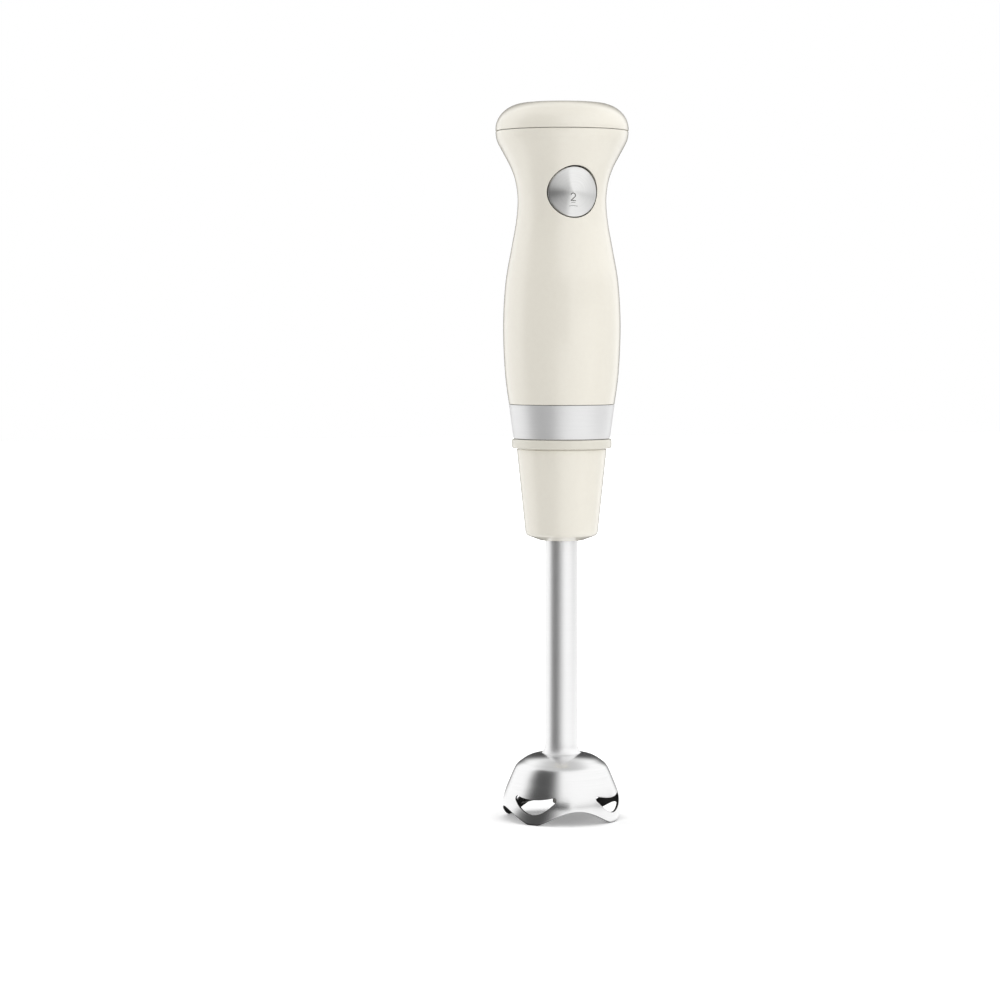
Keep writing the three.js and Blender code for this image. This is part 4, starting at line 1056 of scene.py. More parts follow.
@dataclass
class Shell(Assembly):
    """The handle's outside: shell, cap, trim band and cord bush."""

    low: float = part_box("handle_shell")[0].z
    top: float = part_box("handle_shell")[1].z
    wall: float = 2.5 * MM
    edge: float = 0.45 * MM
    foot_edge: float = 0.2 * MM
    waist_drop: float = 38.2 * MM
    cap_low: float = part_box("handle_shell")[1].z + 0.3 * MM
    cap_top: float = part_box("top_cap")[1].z
    head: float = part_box("top_cap")[1].x
    cap_flat: float = 20 * MM
    cap_wall: float = 2.2 * MM
    skirt_depth: float = 3.4 * MM
    band_foot: float = 26.9 * MM
    band_head: float = 29.45 * MM
    band_wall: float = 1.2 * MM
    button_height: float = 350 * MM
    button_radius: float = 13.85 * MM
    button_gap: float = 0.55 * MM
    button_span: float = 18 * MM
    outlet_height: float = 368 * MM
    outlet_reach: float = 57 * MM
    outlet_radius: float = 8.5 * MM
    outlet_below: float = 15 * MM
    outlet_above: float = 14.6 * MM
    vent_pitch: float = 4 * MM
    vent_count: int = 4
    bush_bore: float = 3.3 * MM
    bush_neck: float = 4.9 * MM

    GRIP: ClassVar[list[Point2]] = [
        (0.0, 29.45), (0.154, 31.7), (0.381, 32.75), (0.595, 31.45), (0.769, 28.1), (0.893, 25.6),
    ]
    FLARE: ClassVar[list[Point2]] = [
        (0.0, 24.65), (0.265, 25.8), (0.471, 28.4), (0.682, 32.6), (0.865, 36.2), (1.0, 37.0),
    ]
    ROLL: ClassVar[list[Point2]] = [(0.1, 0.5), (0.45, 0.9), (1.0, 1.0)]
    PROFILE_STEPS: ClassVar[int] = 330
    SHOULDER_STEPS: ClassVar[int] = 28

    @cached_property
    def profile(self) -> list[Point2]:
        """The shell's outside from its foot to the seam.

        Returns:
            Its (radius, height) points.
        """
        waist = self.top - self.waist_drop
        grip = [(radius * MM, mix(self.low, waist, share)) for share, radius in self.GRIP]
        flare = [(radius * MM, mix(waist, self.top, share)) for share, radius in self.FLARE]
        return smooth_curve(grip + flare, self.PROFILE_STEPS)

    def levels(self, vents: list[float]) -> list[float]:
        """The heights of the wall's rows, with rows at the borders of every opening.

        Args:
            vents: the heights of the vents.

        Returns:
            The heights from the foot up.
        """
        # Each stop is a height and the number of rows that lead up to it.
        stops = [
            (vents[0] - self.vent_pitch / 2, 36),
            (vents[-1] + self.vent_pitch / 2, 4 * self.vent_count),
            (self.button_height - self.button_span, 5),
            (self.outlet_height - self.outlet_below, 11),
            (self.button_height + self.button_span, 8),
            (self.outlet_height + self.outlet_above, 8),
            (self.top - self.edge, 1),
        ]
        levels = [self.low + self.foot_edge]
        for height, count in stops:
            start = levels[-1]
            levels += [mix(start, height, (i + 1) / count) for i in range(count)]
        return levels

    def shell(self) -> Draft:
        """The shell with the button's hole, the vents and the cord outlet.

        Returns:
            Its mesh.
        """
        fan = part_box("cooling_fan")
        middle = (fan[0].z + fan[1].z) / 2
        half = (self.vent_count - 1) / 2
        vents = [middle + self.vent_pitch * (i - half) for i in range(self.vent_count)]
        levels = self.levels(vents)
        outer = [(radius_at(self.profile, height), height) for height in levels]
        inner = [(radius - self.wall, height) for radius, height in outer]

        def rows(height: float, below: float, above: float) -> tuple[int, int]:
            """The rows nearest to the borders of an opening."""
            return nearest(levels, height - below), nearest(levels, height + above)

        def end(row: int, edge: float) -> list[Point2]:
            """The wall's rounded end.

            Args:
                row: the wall's first or last row.
                edge: its rounding; negative where it lies below the row.

            Returns:
                Its (radius, height) stations from the outside in.
            """
            out, height = outer[row]
            roll = [(out - abs(edge) * sink, height + edge * rise) for sink, rise in self.ROLL]
            return [*roll, (inner[row][0], height + edge)]

        button, outlet = self.button_height, self.outlet_height
        openings: list[Opening] = [
            RoundOpening(
                direction=-90, columns=19, rows=rows(button, self.button_span, self.button_span),
                edge=0.4 * MM, radius=self.button_radius + self.button_gap, height=button,
            ),
            Outlet(
                direction=90, columns=14, rows=rows(outlet, self.outlet_below, self.outlet_above),
                edge=2.2 * MM, radius=self.outlet_radius + 1.5 * MM, height=outlet,
                reach=self.outlet_reach, tip_radius=self.outlet_radius,
            ),
        ]
        openings += [
            SlotOpening(
                direction=90, columns=9, rows=rows(vent, self.vent_pitch / 2, self.vent_pitch / 2),
                edge=0.35 * MM, half_width=8 * MM, half_height=0.8 * MM, height=vent,
            )
            for vent in vents
        ]
        rim, brim = end(0, -self.foot_edge), end(-1, self.edge)
        return TurnedWall(outer, inner, rim, brim, openings).draft()

    def cap(self) -> Draft:
        """The cap: a rounded shoulder, a nearly flat top and a skirt inside the shell.

        Returns:
            Its mesh.
        """
        shoulder = self.cap_low + 1 * MM
        size = (self.head - self.cap_flat, self.cap_top - shoulder)
        outside = arc((self.cap_flat, shoulder), size, 0, 90, self.SHOULDER_STEPS)
        under = self.cap_top - self.cap_wall
        inside = inset(outside, self.cap_wall)[3:]
        inside[-1] = (self.cap_flat, under)
        skirt = self.head - self.wall - 0.6 * MM
        skirt_foot = self.cap_low - self.skirt_depth
        foot = [
            (skirt - 2 * MM, self.cap_low + 3 * MM),
            (skirt - 2 * MM, skirt_foot),
            (skirt - 0.5 * MM, skirt_foot),
            (skirt, self.cap_low),
            (self.head - self.edge, self.cap_low),
            (self.head - 0.35 * self.edge, self.cap_low + 0.15 * self.edge),
            (self.head - 0.05 * self.edge, self.cap_low + 0.6 * self.edge),
        ]
        top = [(self.cap_flat / 2, self.cap_top), (0.0, self.cap_top)]
        ceiling = [(0.0, under), (self.cap_flat / 2, under)]
        return Draft.turned(foot + outside + top + ceiling + inside[::-1])

    def band(self) -> Draft:
        """The trim band, a shallow cone with rolled edges.

        Returns:
            Its mesh.
        """
        low, high = (corner.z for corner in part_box("trim_band"))
        return Draft.turned(rounded([
            (self.band_foot - self.band_wall, low, 0.1 * MM),
            (self.band_foot, low, 0.35 * MM),
            (self.band_head, high, 0.15 * MM),
            (self.band_head - self.band_wall, high, 0.1 * MM),
        ]))

    def bush(self) -> Draft:
        """The rubber bush in the cord outlet, with its own Z pointing out of the handle.

        Returns:
            Its mesh.
        """
        start, tip = (corner.y - AXIS_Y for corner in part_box("cord_gland"))
        nose = self.outlet_reach + 0.3 * MM
        collar = start + 2.5 * MM
        return Draft.turned(rounded([
            (self.bush_bore, start, 0.0),
            (6.2 * MM, start, 0.5 * MM),
            (6.2 * MM, collar, 0.3 * MM),
            (self.bush_neck, collar, 0.2 * MM),
            (self.bush_neck, nose, 0.0),
            (6.5 * MM, nose, 0.3 * MM),
            (6.1 * MM, mix(nose, tip, 0.7), 1.4 * MM),
            (self.bush_bore + 0.9 * MM, tip, 0.7 * MM),
            (self.bush_bore, tip, 0.4 * MM),
        ]), SMALL_SIDES)

    def build(self) -> list[bpy.types.Object]:
        """Makes the shell, the cap, the band and the cord bush.

        Returns:
            The pieces.
        """
        place = Matrix.Translation((0, AXIS_Y, self.outlet_height))
        place @= Matrix.Rotation(-math.pi / 2, 4, "X")
        return [
            self.add(self.shell(), "handle_shell_body", CREAM, "handle_shell"),
            self.add(self.cap(), "head_cap", CREAM, "top_cap"),
            self.add(self.band(), "steel_trim_band", BRUSHED, "trim_band"),
            self.add(self.bush(), "cord_outlet_bush", RUBBER, "cord_gland", place=place),
        ]


@dataclass
class Outlet(RoundOpening):
    """The tapered cord outlet that stands out of the shell.

    Args:
        reach: distance of its tip from the drive axis.
        tip_radius: its outer radius at the tip.
        root: distance of its root from the drive axis.
        bore: radius of its bore.
    """

    reach: float
    tip_radius: float
    root: float = 36 * MM
    bore: float = 5.2 * MM

    FILLET: ClassVar[list[Point2]] = [
        (1.0, 0.0), (0.62, -0.08), (0.32, -0.28), (0.12, -0.58), (0.0, -1.0),
    ]

    def rings(self, wall: TurnedWall) -> list[list[Point3]]:
        """A fillet on the shell, the tapered outside, the rounded tip and the bore.

        Args:
            wall: the shell's wall.

        Returns:
            The rings from the outer surface to the inner one.
        """
        rings = self.edge_rings(wall, self.FILLET)
        outside = [
            (mix(self.radius, self.tip_radius, share), mix(self.root, self.reach, share))
            for share in (0.0, 0.33, 0.66, 0.93)
        ]
        tip = [
            (self.tip_radius - 0.15 * MM, self.reach - 0.5 * MM),
            (self.tip_radius - 0.6 * MM, self.reach - 0.1 * MM),
            (self.tip_radius - 1.2 * MM, self.reach),
            (self.bore + 0.4 * MM, self.reach),
            (self.bore, self.reach - 0.4 * MM),
        ]
        for radius, reach in outside + tip:
            places = self.outline(radius - self.radius)
            rings.append([wall.aimed(self.direction, x, reach, z) for x, z in places])
        return [*rings, self.inner_ring(wall, self.bore - self.radius)]


@dataclass
class SpeedButton(Assembly):
    """The dished rocker button with its speed mark.

    Its own frame has Z pointing out of the handle and Y up.
    """

    body: ClassVar[Body] = Body.BUTTON

    shell: Shell
    dish: float = 0.7 * MM
    dish_power: float = 1.6
    follow: float = 0.15
    rim: float = 0.4 * MM
    depth: float = 4.9 * MM
    roof: float = 3.7 * MM
    skirt: float = 2.6 * MM
    bevel: float = 0.3 * MM
    mark_left: float = 0.45 * MM
    mark_low: float = -0.03 * MM
    mark_high: float = 0.012 * MM
    numeral_height: float = 4.1 * MM
    numeral_drop: float = 2.85 * MM
    numeral_line: float = 0.48 * MM
    numeral_left: float = -1.35 * MM
    numeral_right: float = 1.4 * MM
    bowl: float = 1.25 * MM
    bar_line: float = 0.22 * MM
    bar_bow: float = 20 * MM

    FACE_RINGS: ClassVar[int] = 32
    BOWL_ENDS: ClassVar[Point2] = (165, -35)
    BARS: ClassVar[list[Point2]] = [(-5.9, 1.2), (-7.7, 2.4)]

    def place(self) -> Matrix:
        """Where the button's own frame stands: on the drive axis, level with its middle."""
        middle = Matrix.Translation((0, AXIS_Y, self.shell.button_height))
        return middle @ Matrix.Rotation(math.pi / 2, 4, "X")

    def surface(self, x: float, y: float) -> float:
        """How far the shell's surface stands out at a place on the button."""
        radius = radius_at(self.shell.profile, self.shell.button_height + y)
        return math.sqrt(radius * radius - x * x)

    def face(self, x: float, y: float) -> float:
        """How far the button's dished face stands out.

        Args:
            x, y: the place on the button.

        Returns:
            Its distance in front of the drive axis.
        """
        middle = self.surface(0, 0) - self.dish
        share = math.hypot(x, y) / self.shell.button_radius
        if share < TINY:
            return middle
        edge = mix(self.surface(x / share, 0), self.surface(x / share, y / share), self.follow)
        return mix(middle, edge, share ** self.dish_power)

    def disc(self) -> Draft:
        """The face, the rounded rim and the hollow back.

        Returns:
            Its mesh.
        """
        draft = Draft()
        radius = self.shell.button_radius
        flat = radius - self.rim

        def ring(size: float, sink: float) -> list[int]:
            """A ring that follows the face, sunk below it."""
            places = [polar(size, turn) for turn in turns(SIDES)]
            return draft.loop([(x, y, self.face(x, y) - sink) for x, y in places])

        loops = [draft.loop([(0.0, 0.0, self.face(0, 0))])]
        loops += [ring(flat * i / self.FACE_RINGS, 0.0) for i in range(1, self.FACE_RINGS + 1)]
        for turn in map(math.radians, (30, 60, 90)):
            size = flat + self.rim * math.sin(turn)
            loops.append(ring(size, self.rim * (1 - math.cos(turn))))
        back, roof = self.surface(0, 0) - self.depth, self.surface(0, 0) - self.roof
        hollow = radius - self.skirt
        behind = [
            (radius, back + self.bevel), (radius - self.bevel, back),
            (hollow, back), (hollow, roof), (0.0, roof),
        ]
        loops += [draft.ring(size, height, SIDES) for size, height in behind]
        draft.chain(loops)
        return draft

    def mark(self, name: str, draft: Draft) -> bpy.types.Object:
        """Lays a flat mark on the dished face and gives it the dark finish.

        Args:
            name: the mark's name.
            draft: its flat mesh.

        Returns:
            The piece.
        """
        points = [(x - self.mark_left, y, z) for x, y, z in draft.points]
        draft.points = [(x, y, self.face(x, y) + z) for x, y, z in points]
        return self.add(draft, name, ENGRAVING, place=self.place())

    def numeral(self) -> Draft:
        """The figure 2: a bowl with a slanted leg, and a straight base.

        Returns:
            Its mesh.
        """
        foot = -self.numeral_height / 2
        lift = self.numeral_height / 2 - self.bowl
        bowl = arc((0.0, 0.0), (self.bowl, self.bowl), *self.BOWL_ENDS, 14)
        path = [(x, y + lift) for x, y in bowl]
        x, y = path[-1]
        path += [(mix(x, self.numeral_left, t), mix(y, foot, t)) for t in (0.35, 0.7, 1.0)]
        base = [(mix(self.numeral_left, self.numeral_right, t), foot) for t in (0.0, 0.5, 1.0)]
        draft = Draft()
        for stroke in (path, base):
            lowered = [(x, y - self.numeral_drop) for x, y in stroke]
            self.stroke(draft, lowered, self.numeral_line)
        return draft

    def bars(self) -> Draft:
        """The two bowed bars below the figure.

        Returns:
            Their mesh.
        """
        draft = Draft()
        for height, half in self.BARS:
            steps = [mix(-half * MM, half * MM, i / 6) for i in range(7)]
            path = [(x, height * MM - x * x / self.bar_bow) for x in steps]
            self.stroke(draft, path, self.bar_line)
        return draft

    def stroke(self, draft: Draft, path: Sequence[Point2], width: float) -> None:
        """Adds a thin flat bar along a path.

        Args:
            draft: the mesh that it joins.
            path: its middle line.
            width: its width.
        """
        low, high = self.mark_low, self.mark_high
        loops = []
        for i, (x, y) in enumerate(path):
            back = Vector(path[max(i - 1, 0)])
            on = Vector(path[min(i + 1, len(path) - 1)])
            side = (on - back).normalized().orthogonal() * width / 2
            loops.append(draft.loop([
                (x - side.x, y - side.y, low), (x + side.x, y + side.y, low),
                (x + side.x, y + side.y, high), (x - side.x, y - side.y, high),
            ]))
        draft.chain(loops)
        draft.faces += [tuple(loops[0]), tuple(loops[-1])]

    def build(self) -> list[bpy.types.Object]:
        """Makes the button and its marks.

        Returns:
            The pieces.
        """
        return [
            self.add(self.disc(), "speed_button_disc", SPUN, "speed_button", place=self.place()),
            self.mark("speed_numeral", self.numeral()),
            self.mark("speed_bars", self.bars()),
        ]


@dataclass
class Foot(Assembly):
    """The detachable foot: collar, tube and blade bell."""

    body: ClassVar[Body] = Body.FOOT

    parting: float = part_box("foot_collar")[1].z
    collar_low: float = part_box("foot_collar")[0].z
    collar_foot: float = 20.4 * MM
    collar_top: float = 25.1 * MM
    collar_wall: float = 2.6 * MM
    flange: float = 27.9 * MM
    flange_height: float = 5.1 * MM
    lip: float = 20.7 * MM
    groove: float = 0.7 * MM
    tube: float = 9.1 * MM
    tube_wall: float = 0.8 * MM
    tube_high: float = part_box("shaft_tube")[1].z
    flare_radius: float = 11 * MM
    flare_height: float = 6 * MM
    flare_power: float = 2.6
    bell_top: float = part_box("blade_bell")[1].z
    bell_wall: float = 1.4 * MM
    arch: float = 8.1 * MM
    arch_reach: float = 16 * MM
    arch_power: float = 0.8
    flat_feet: float = 0.04
    slot_width: float = 25.8 * MM
    slot_low: float = 3.6 * MM
    slot_high: float = 19.3 * MM
    spigot_radius: float = 20.4 * MM
    spigot_top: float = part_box("collar_core")[1].z
    spigot_bore: float = 11 * MM
    bush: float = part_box("upper_bush")[1].x
    bush_height: float = 7.5 * MM
    clip_rise: float = 6 * MM
    clip_depth: float = 1.2 * MM
    key_width: float = 4 * MM
    key_depth: float = 1.8 * MM
    seam: float = 0.3 * MM

    BELL: ClassVar[list[Point2]] = [
        (33.3, 0.7), (33.25, 3.0), (33.0, 9.2), (32.4, 12.6), (31.4, 16.0), (30.2, 19.3),
        (28.8, 22.6), (27.4, 26.0), (25.7, 29.5), (24.2, 31.3), (22.0, 33.0), (19.6, 34.6),
        (17.0, 35.8), (14.0, 36.6), (11.0, 37.0), (9.4, 37.0),
    ]
    BELL_STEPS: ClassVar[int] = 60
    KEY_SLOPE: ClassVar[float] = 0.012

    def collar(self) -> Draft:
        """Flange and cone of the collar, hollow inside.

        Returns:
            Its mesh.
        """
        low, high = self.collar_low, self.parting
        under, floor = high - self.flange_height, high - 3 * MM
        neck = self.collar_top - self.groove
        bore = self.tube + 0.4 * MM
        inside = self.collar_top - self.collar_wall
        foot = self.collar_foot - self.collar_wall
        return Draft.turned(rounded([
            (bore, low, 0.2 * MM),
            (12.0 * MM, low + 0.2 * MM, 3.0 * MM),
            (self.collar_foot - 0.3 * MM, low + 3.2 * MM, 3.0 * MM),
            (self.collar_top, under - self.groove, 0.12 * MM),
            (neck, under - self.groove, 0.1 * MM),
            (neck, under, 0.1 * MM),
            (self.flange, under, 1.1 * MM),
            (self.flange, high, 1.1 * MM),
            (self.lip, high, 0.4 * MM),
            (self.lip, floor, 0.0),
            (inside, floor, 0.0),
            (inside, under, 0.0),
            (foot, low + 7 * MM, 0.0),
            (foot - 1.8 * MM, low + 4 * MM, 0.0),
            (bore, low + self.collar_wall, 0.0),
        ], 7))

    def shaft(self) -> Draft:
        """The tube with its flared foot.

        Returns:
            Its mesh.
        """
        inner = self.tube - self.tube_wall
        flare = [
            (
                mix(self.tube, self.flare_radius, (1 - t) ** self.flare_power),
                self.bell_top + self.flare_height * t,
            )
            for t in (0.0, 0.08, 0.18, 0.3, 0.45, 0.6, 0.8, 1.0)
        ]
        return Draft.turned([
            *flare,
            (self.tube, self.tube_high - 0.2 * MM),
            (self.tube - 0.2 * MM, self.tube_high),
            (inner, self.tube_high),
            (inner, self.bell_top),
        ])

    def spigot(self) -> Draft:
        """The collar's core: a stepped spigot with a clip groove and a key at each side.

        Returns:
            Its mesh.
        """
        out, top = self.spigot_radius, self.spigot_top
        seat, web = self.tube + self.seam, self.tube_high + self.seam
        waist, shelf = seat + 3.6 * MM, self.collar_low + self.bush_height
        socket, roof = self.bush + self.seam, web + self.bush_height
        clip = self.parting + self.clip_rise
        clip_low, clip_high = clip - self.seam, clip + 1.6 * MM + self.seam
        key_low, key_high = clip + 3.6 * MM, top - 1.5 * MM
        bevel = 0.25 * MM
        outline = rounded([
            (self.spigot_bore, top, 0.4 * MM), (out, top, 0.8 * MM), (out, key_high, 0.0),
            (out, key_high - bevel, 0.0), (out, key_low + bevel, 0.0), (out, key_low, 0.0),
            (out, clip_high, 0.2 * MM), (out - self.clip_depth, clip_high, 0.2 * MM),
            (out - self.clip_depth, clip_low, 0.2 * MM), (out, clip_low, 0.2 * MM),
            (out, self.parting - 17 * MM, 1.5 * MM), (waist, self.parting - 27 * MM, 1.5 * MM),
            (waist, shelf, 0.4 * MM), (seat, shelf, 0.2 * MM), (seat, web, 0.2 * MM),
            (socket, web, 0.2 * MM), (socket, roof, 0.2 * MM), (self.spigot_bore, roof, 0.6 * MM),
        ], 4)
        edge = self.key_width / 2 / out
        slope = edge + self.KEY_SLOPE
        flanks = [side + turn for side in (0, math.pi) for turn in (-slope, -edge, edge, slope)]
        around = sorted(turn % math.tau for turn in turns(120) + flanks)

        def key(turn: float, radius: float, height: float) -> float:
            """How far the key stands out.

            Args:
                turn, radius, height: the place on the plain outside.

            Returns:
                The key's depth, or 0 beside it.
            """
            off = abs((turn + math.pi / 2) % math.pi - math.pi / 2)
            inside = off <= edge + TINY and key_low < height < key_high and radius > out - TINY
            return self.key_depth if inside else 0.0

        draft = Draft()
        rings = [
            [(*polar(radius + key(turn, radius, height), turn), height) for turn in around]
            for radius, height in outline
        ]
        draft.chain([draft.loop(ring) for ring in rings], closed=True)
        return draft

    def lift(self, turn: float) -> float:
        """How high the bell's rim arches at an angle: 0 at the four feet on the diagonals."""
        wave = math.cos(2 * turn) ** 2
        return self.arch * max(wave - self.flat_feet, 0.0) ** self.arch_power

    def bell(self) -> Draft:
        """The bell with its arched rim and four crescent slots.

        Returns:
            Its mesh.
        """
        outside = smooth_curve([(r * MM, z * MM) for r, z in self.BELL], self.BELL_STEPS)
        foot, low = outside[0]
        inside = inset(outside, self.bell_wall)
        inside[0] = (foot - self.bell_wall, low)
        half = self.bell_wall / 2
        rim = arc((foot - half, low), (half, low), -15, -165, 6)
        neck, top = self.tube - self.tube_wall, outside[-1][1]
        brim = [(neck, top), (neck, top - self.bell_wall)]
        levels = [height for _, height in outside]
        rows = (nearest(levels, self.slot_low), nearest(levels, self.slot_high))
        openings: list[Opening] = [
            CrescentOpening(
                direction=direction, columns=11, rows=rows, edge=0.3 * MM,
                half_width=self.slot_width / 2,
            )
            for direction in (-135, -45, 45, 135)
        ]
        wall = TurnedWall(outside, inside, rim, brim, openings, self.lift, self.arch_reach)
        return wall.draft()

    def on_flange(self, face: bpy.types.MeshPolygon, out: Vector) -> bool:
        """True for the flange's faces, which are greyer than the rest of the collar."""
        low = self.parting - self.flange_height - 0.05 * MM
        return face.center.z > low and out.length > self.collar_top - 0.5 * MM

    @staticmethod
    def in_bell(face: bpy.types.MeshPolygon, out: Vector) -> bool:
        """True for the faces inside the bell, which are unpolished and carry painted shade."""
        return face.normal.dot(out) < -1e-4 or face.normal.z < -0.9

    def build(self) -> list[bpy.types.Object]:
        """Makes the collar, its core, the tube and the bell.

        Returns:
            The pieces.
        """
        bell = self.add(self.bell(), "blade_guard_bell", POLISHED, "blade_bell")
        # The inside of the bell takes dark steel: unpolished, with painted shade.
        RAW_STEEL_AND_SHADE.touch_up(bell, self.in_bell)
        collar = self.add(self.collar(), "foot_collar_cover", CREAM, "foot_collar")
        CREAM_RING.touch_up(collar, self.on_flange)
        spigot = self.add(self.spigot(), "collar_spigot", DARK, "collar_core")
        shaft = self.add(self.shaft(), "blending_shaft", SATIN, "shaft_tube")
        return [collar, spigot, shaft, bell]

    def finishes(self) -> dict[str, Finish]:
        """The finishes of the foot's inner pieces.

        Returns:
            A finish for each CAD node.
        """
        return {
            "upper_bush": BRONZE,
            "lower_bush": BRONZE,
            "bearing_housing": DARK,
            "shaft_seal": RUBBER,
        }


@dataclass
class CrescentOpening(Opening):
    """A crescent slot: a shallow dip above, a deep belly below and round ends."""

    half_width: float
    round_end: float = 1.6 * MM
    end_height: float = 13.9 * MM
    end_slant: float = -30.0
    dip: float = 12.5 * MM
    belly: float = -1.6 * MM

    def sides(self, growth: float) -> list[Curve]:
        """Its belly, its right end, its dipped top and its left end.

        Args:
            growth: how far it is widened.

        Returns:
            The sides.
        """
        radius = self.round_end + growth
        end = (self.half_width - self.round_end, self.end_height)

        def bow(sign: int, turn: float, control: float) -> Curve:
            """A quadratic curve between the two round ends.

            Args:
                sign: 1 runs rightwards, -1 leftwards.
                turn: where on the round ends it starts and stops, in degrees.
                control: the height that it is drawn towards.

            Returns:
                The side.
            """
            across, up = polar(radius, math.radians(turn))
            reach, height = end[0] + across, end[1] + up
            middle = control + math.copysign(growth, control - self.end_height + 3 * MM)

            def at(share: float) -> Point2:
                """The place a share of the way along it."""
                pull = 2 * share * (1 - share)
                return sign * mix(-reach, reach, share), mix(height, middle, pull)

            return at

        return [
            bow(1, self.end_slant, self.belly), self.bend(end, radius, self.end_slant, 90),
            bow(-1, 90, self.dip), self.bend(end, radius, 90, self.end_slant, -1),
        ]


@dataclass
class BladeDrive(Assembly):
    """The shaft, the blade and its nut."""

    body: ClassVar[Body] = Body.BLADE_DRIVE

    height: float = 12.6 * MM
    thickness: float = 1.5 * MM
    root: float = 5.2 * MM
    bend_at: float = 11 * MM
    tip: float = 24 * MM
    bend: float = 0.26
    bore: float = 2.7 * MM
    grind: float = 1.6 * MM
    burr: float = 0.1 * MM
    edge_height: float = 0.35 * MM
    hub_radius: float = 4.8 * MM
    hub_top: float = 16.2 * MM
    nut_radius: float = 5 * MM
    chamfer: float = 0.5 * MM

    LEAD_STEPS: ClassVar[int] = 12
    LEAD_PULL: ClassVar[Point2] = (0.7, 0.6)
    TIP_WIDTH: ClassVar[float] = 0.3
    NUT_SIDES: ClassVar[int] = 48

    def outline(self) -> list[Point2]:
        """The blade's flat outline on the +X side, from its rear root round the tip.

        Returns:
            Its points.
        """
        reach = self.tip - self.bend_at
        pull_x, pull_y = self.LEAD_PULL
        lead: list[Point2] = []
        for i in range(self.LEAD_STEPS + 1):
            t = i / self.LEAD_STEPS
            start, middle, end = (1 - t) ** 2, 2 * t * (1 - t), t * t
            x = self.bend_at + middle * pull_x * reach + end * reach
            y = -self.root * start - middle * pull_y * self.root + end * self.TIP_WIDTH * self.root
            lead.append((x, y))
        trail = [
            (mix(self.tip, self.bend_at, t), mix(self.TIP_WIDTH, 1.0, t) * self.root)
            for t in (0.1, 0.4, 0.7, 1.0)
        ]
        return lead + trail

    def bent(self, x: float, y: float, z: float) -> Point3:
        """A place on the blade after bending, with one wing up and the other down.

        Args:
            x, y: the place on the flat blade.
            z: its height over the blade's underside.

        Returns:
            The place about the drive axis.
        """
        out = max(abs(x) - self.bend_at, 0.0)
        raised = math.sin(self.bend) * out * math.copysign(1.0, x)
        along = math.copysign(min(abs(x), self.bend_at) + math.cos(self.bend) * out, x)
        return along, y, self.height + z + raised

    def blade(self) -> Draft:
        """Both wings with their ground edges and the pierced middle.

        Returns:
            The blade's mesh.
        """
        wing = self.outline()
        around = wing + [(-x, -y) for x, y in wing]
        centre = [polar(self.bore, math.atan2(y, x)) for x, y in around]
        draft = Draft()

        def layer(z: float, drawn_in: float) -> list[list[int]]:
            """One face of the blade.

            Args:
                z: its height over the blade's underside.
                drawn_in: how far it stops short of the blade's edge.

            Returns:
                Its rings from the edge to the bore.
            """
            loops = []
            for share in (0.0, 0.25, 0.5, 0.75, 1.0):
                ring = []
                for (x, y), (cx, cy) in zip(around, centre):
                    kept = 1 - drawn_in / max(math.hypot(x, y), self.root)
                    ring.append(self.bent(mix(x * kept, cx, share), mix(y * kept, cy, share), z))
                loops.append(draft.loop(ring))
            return loops

        low = layer(0.0, self.burr)
        edge = draft.loop([self.bent(x, y, self.edge_height) for x, y in around])
        high = layer(self.thickness, self.grind)
        for loops in (low, high, [low[0], edge, high[0]], [low[-1], high[-1]]):
            draft.chain(loops)
        return draft

    def hub(self) -> Draft:
        """The short hub above the blade.

        Returns:
            Its mesh.
        """
        low = self.height + self.thickness
        return Draft.turned(rounded([
            (self.bore, low, 0.1 * MM),
            (self.hub_radius, low, 0.1 * MM),
            (self.hub_radius, self.hub_top, 0.5 * MM),
            (self.bore, self.hub_top, 0.1 * MM),
        ]), SMALL_SIDES)

    def nut(self) -> Draft:
        """A hexagon nut with chamfered corners.

        Returns:
            Its mesh.
        """
        low, high = (corner.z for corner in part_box("blade_nut"))
        corner, sides = self.nut_radius, self.NUT_SIDES
        twelfth = math.pi / 6
        apothem = corner * math.cos(twelfth)
        hexagon = [(apothem / math.cos(t % (2 * twelfth) - twelfth), t) for t in turns(sides)]
        draft = Draft()

        def ring(height: float, limit: float) -> list[int]:
            """A ring of the nut, no wider than a limit."""
            return draft.loop([(*polar(min(size, limit), t), height) for size, t in hexagon])

        flat = apothem - 0.05 * MM
        draft.chain([
            ring(low, flat), ring(low + self.chamfer, corner),
            ring(high - self.chamfer, corner), ring(high, flat),
            draft.ring(self.bore, high, sides), draft.ring(self.bore, low, sides),
        ], closed=True)
        return draft

    def build(self) -> list[bpy.types.Object]:
        """Makes the blade, its hub and its nut.

        Returns:
            The pieces.
        """
        return [
            self.add(self.blade(), "chopping_blade", BLADE_STEEL, "blade"),
            self.add(self.hub(), "blade_hub", BLADE_STEEL),
            self.add(self.nut(), "hexagon_blade_nut", PLATED, "blade_nut"),
        ]

    def finishes(self) -> dict[str, Finish]:
        """The finishes of the drive's inner pieces."""
        return {"drive_shaft": BLADE_STEEL, "driven_coupling": DARK, "retaining_ring": PLATED}


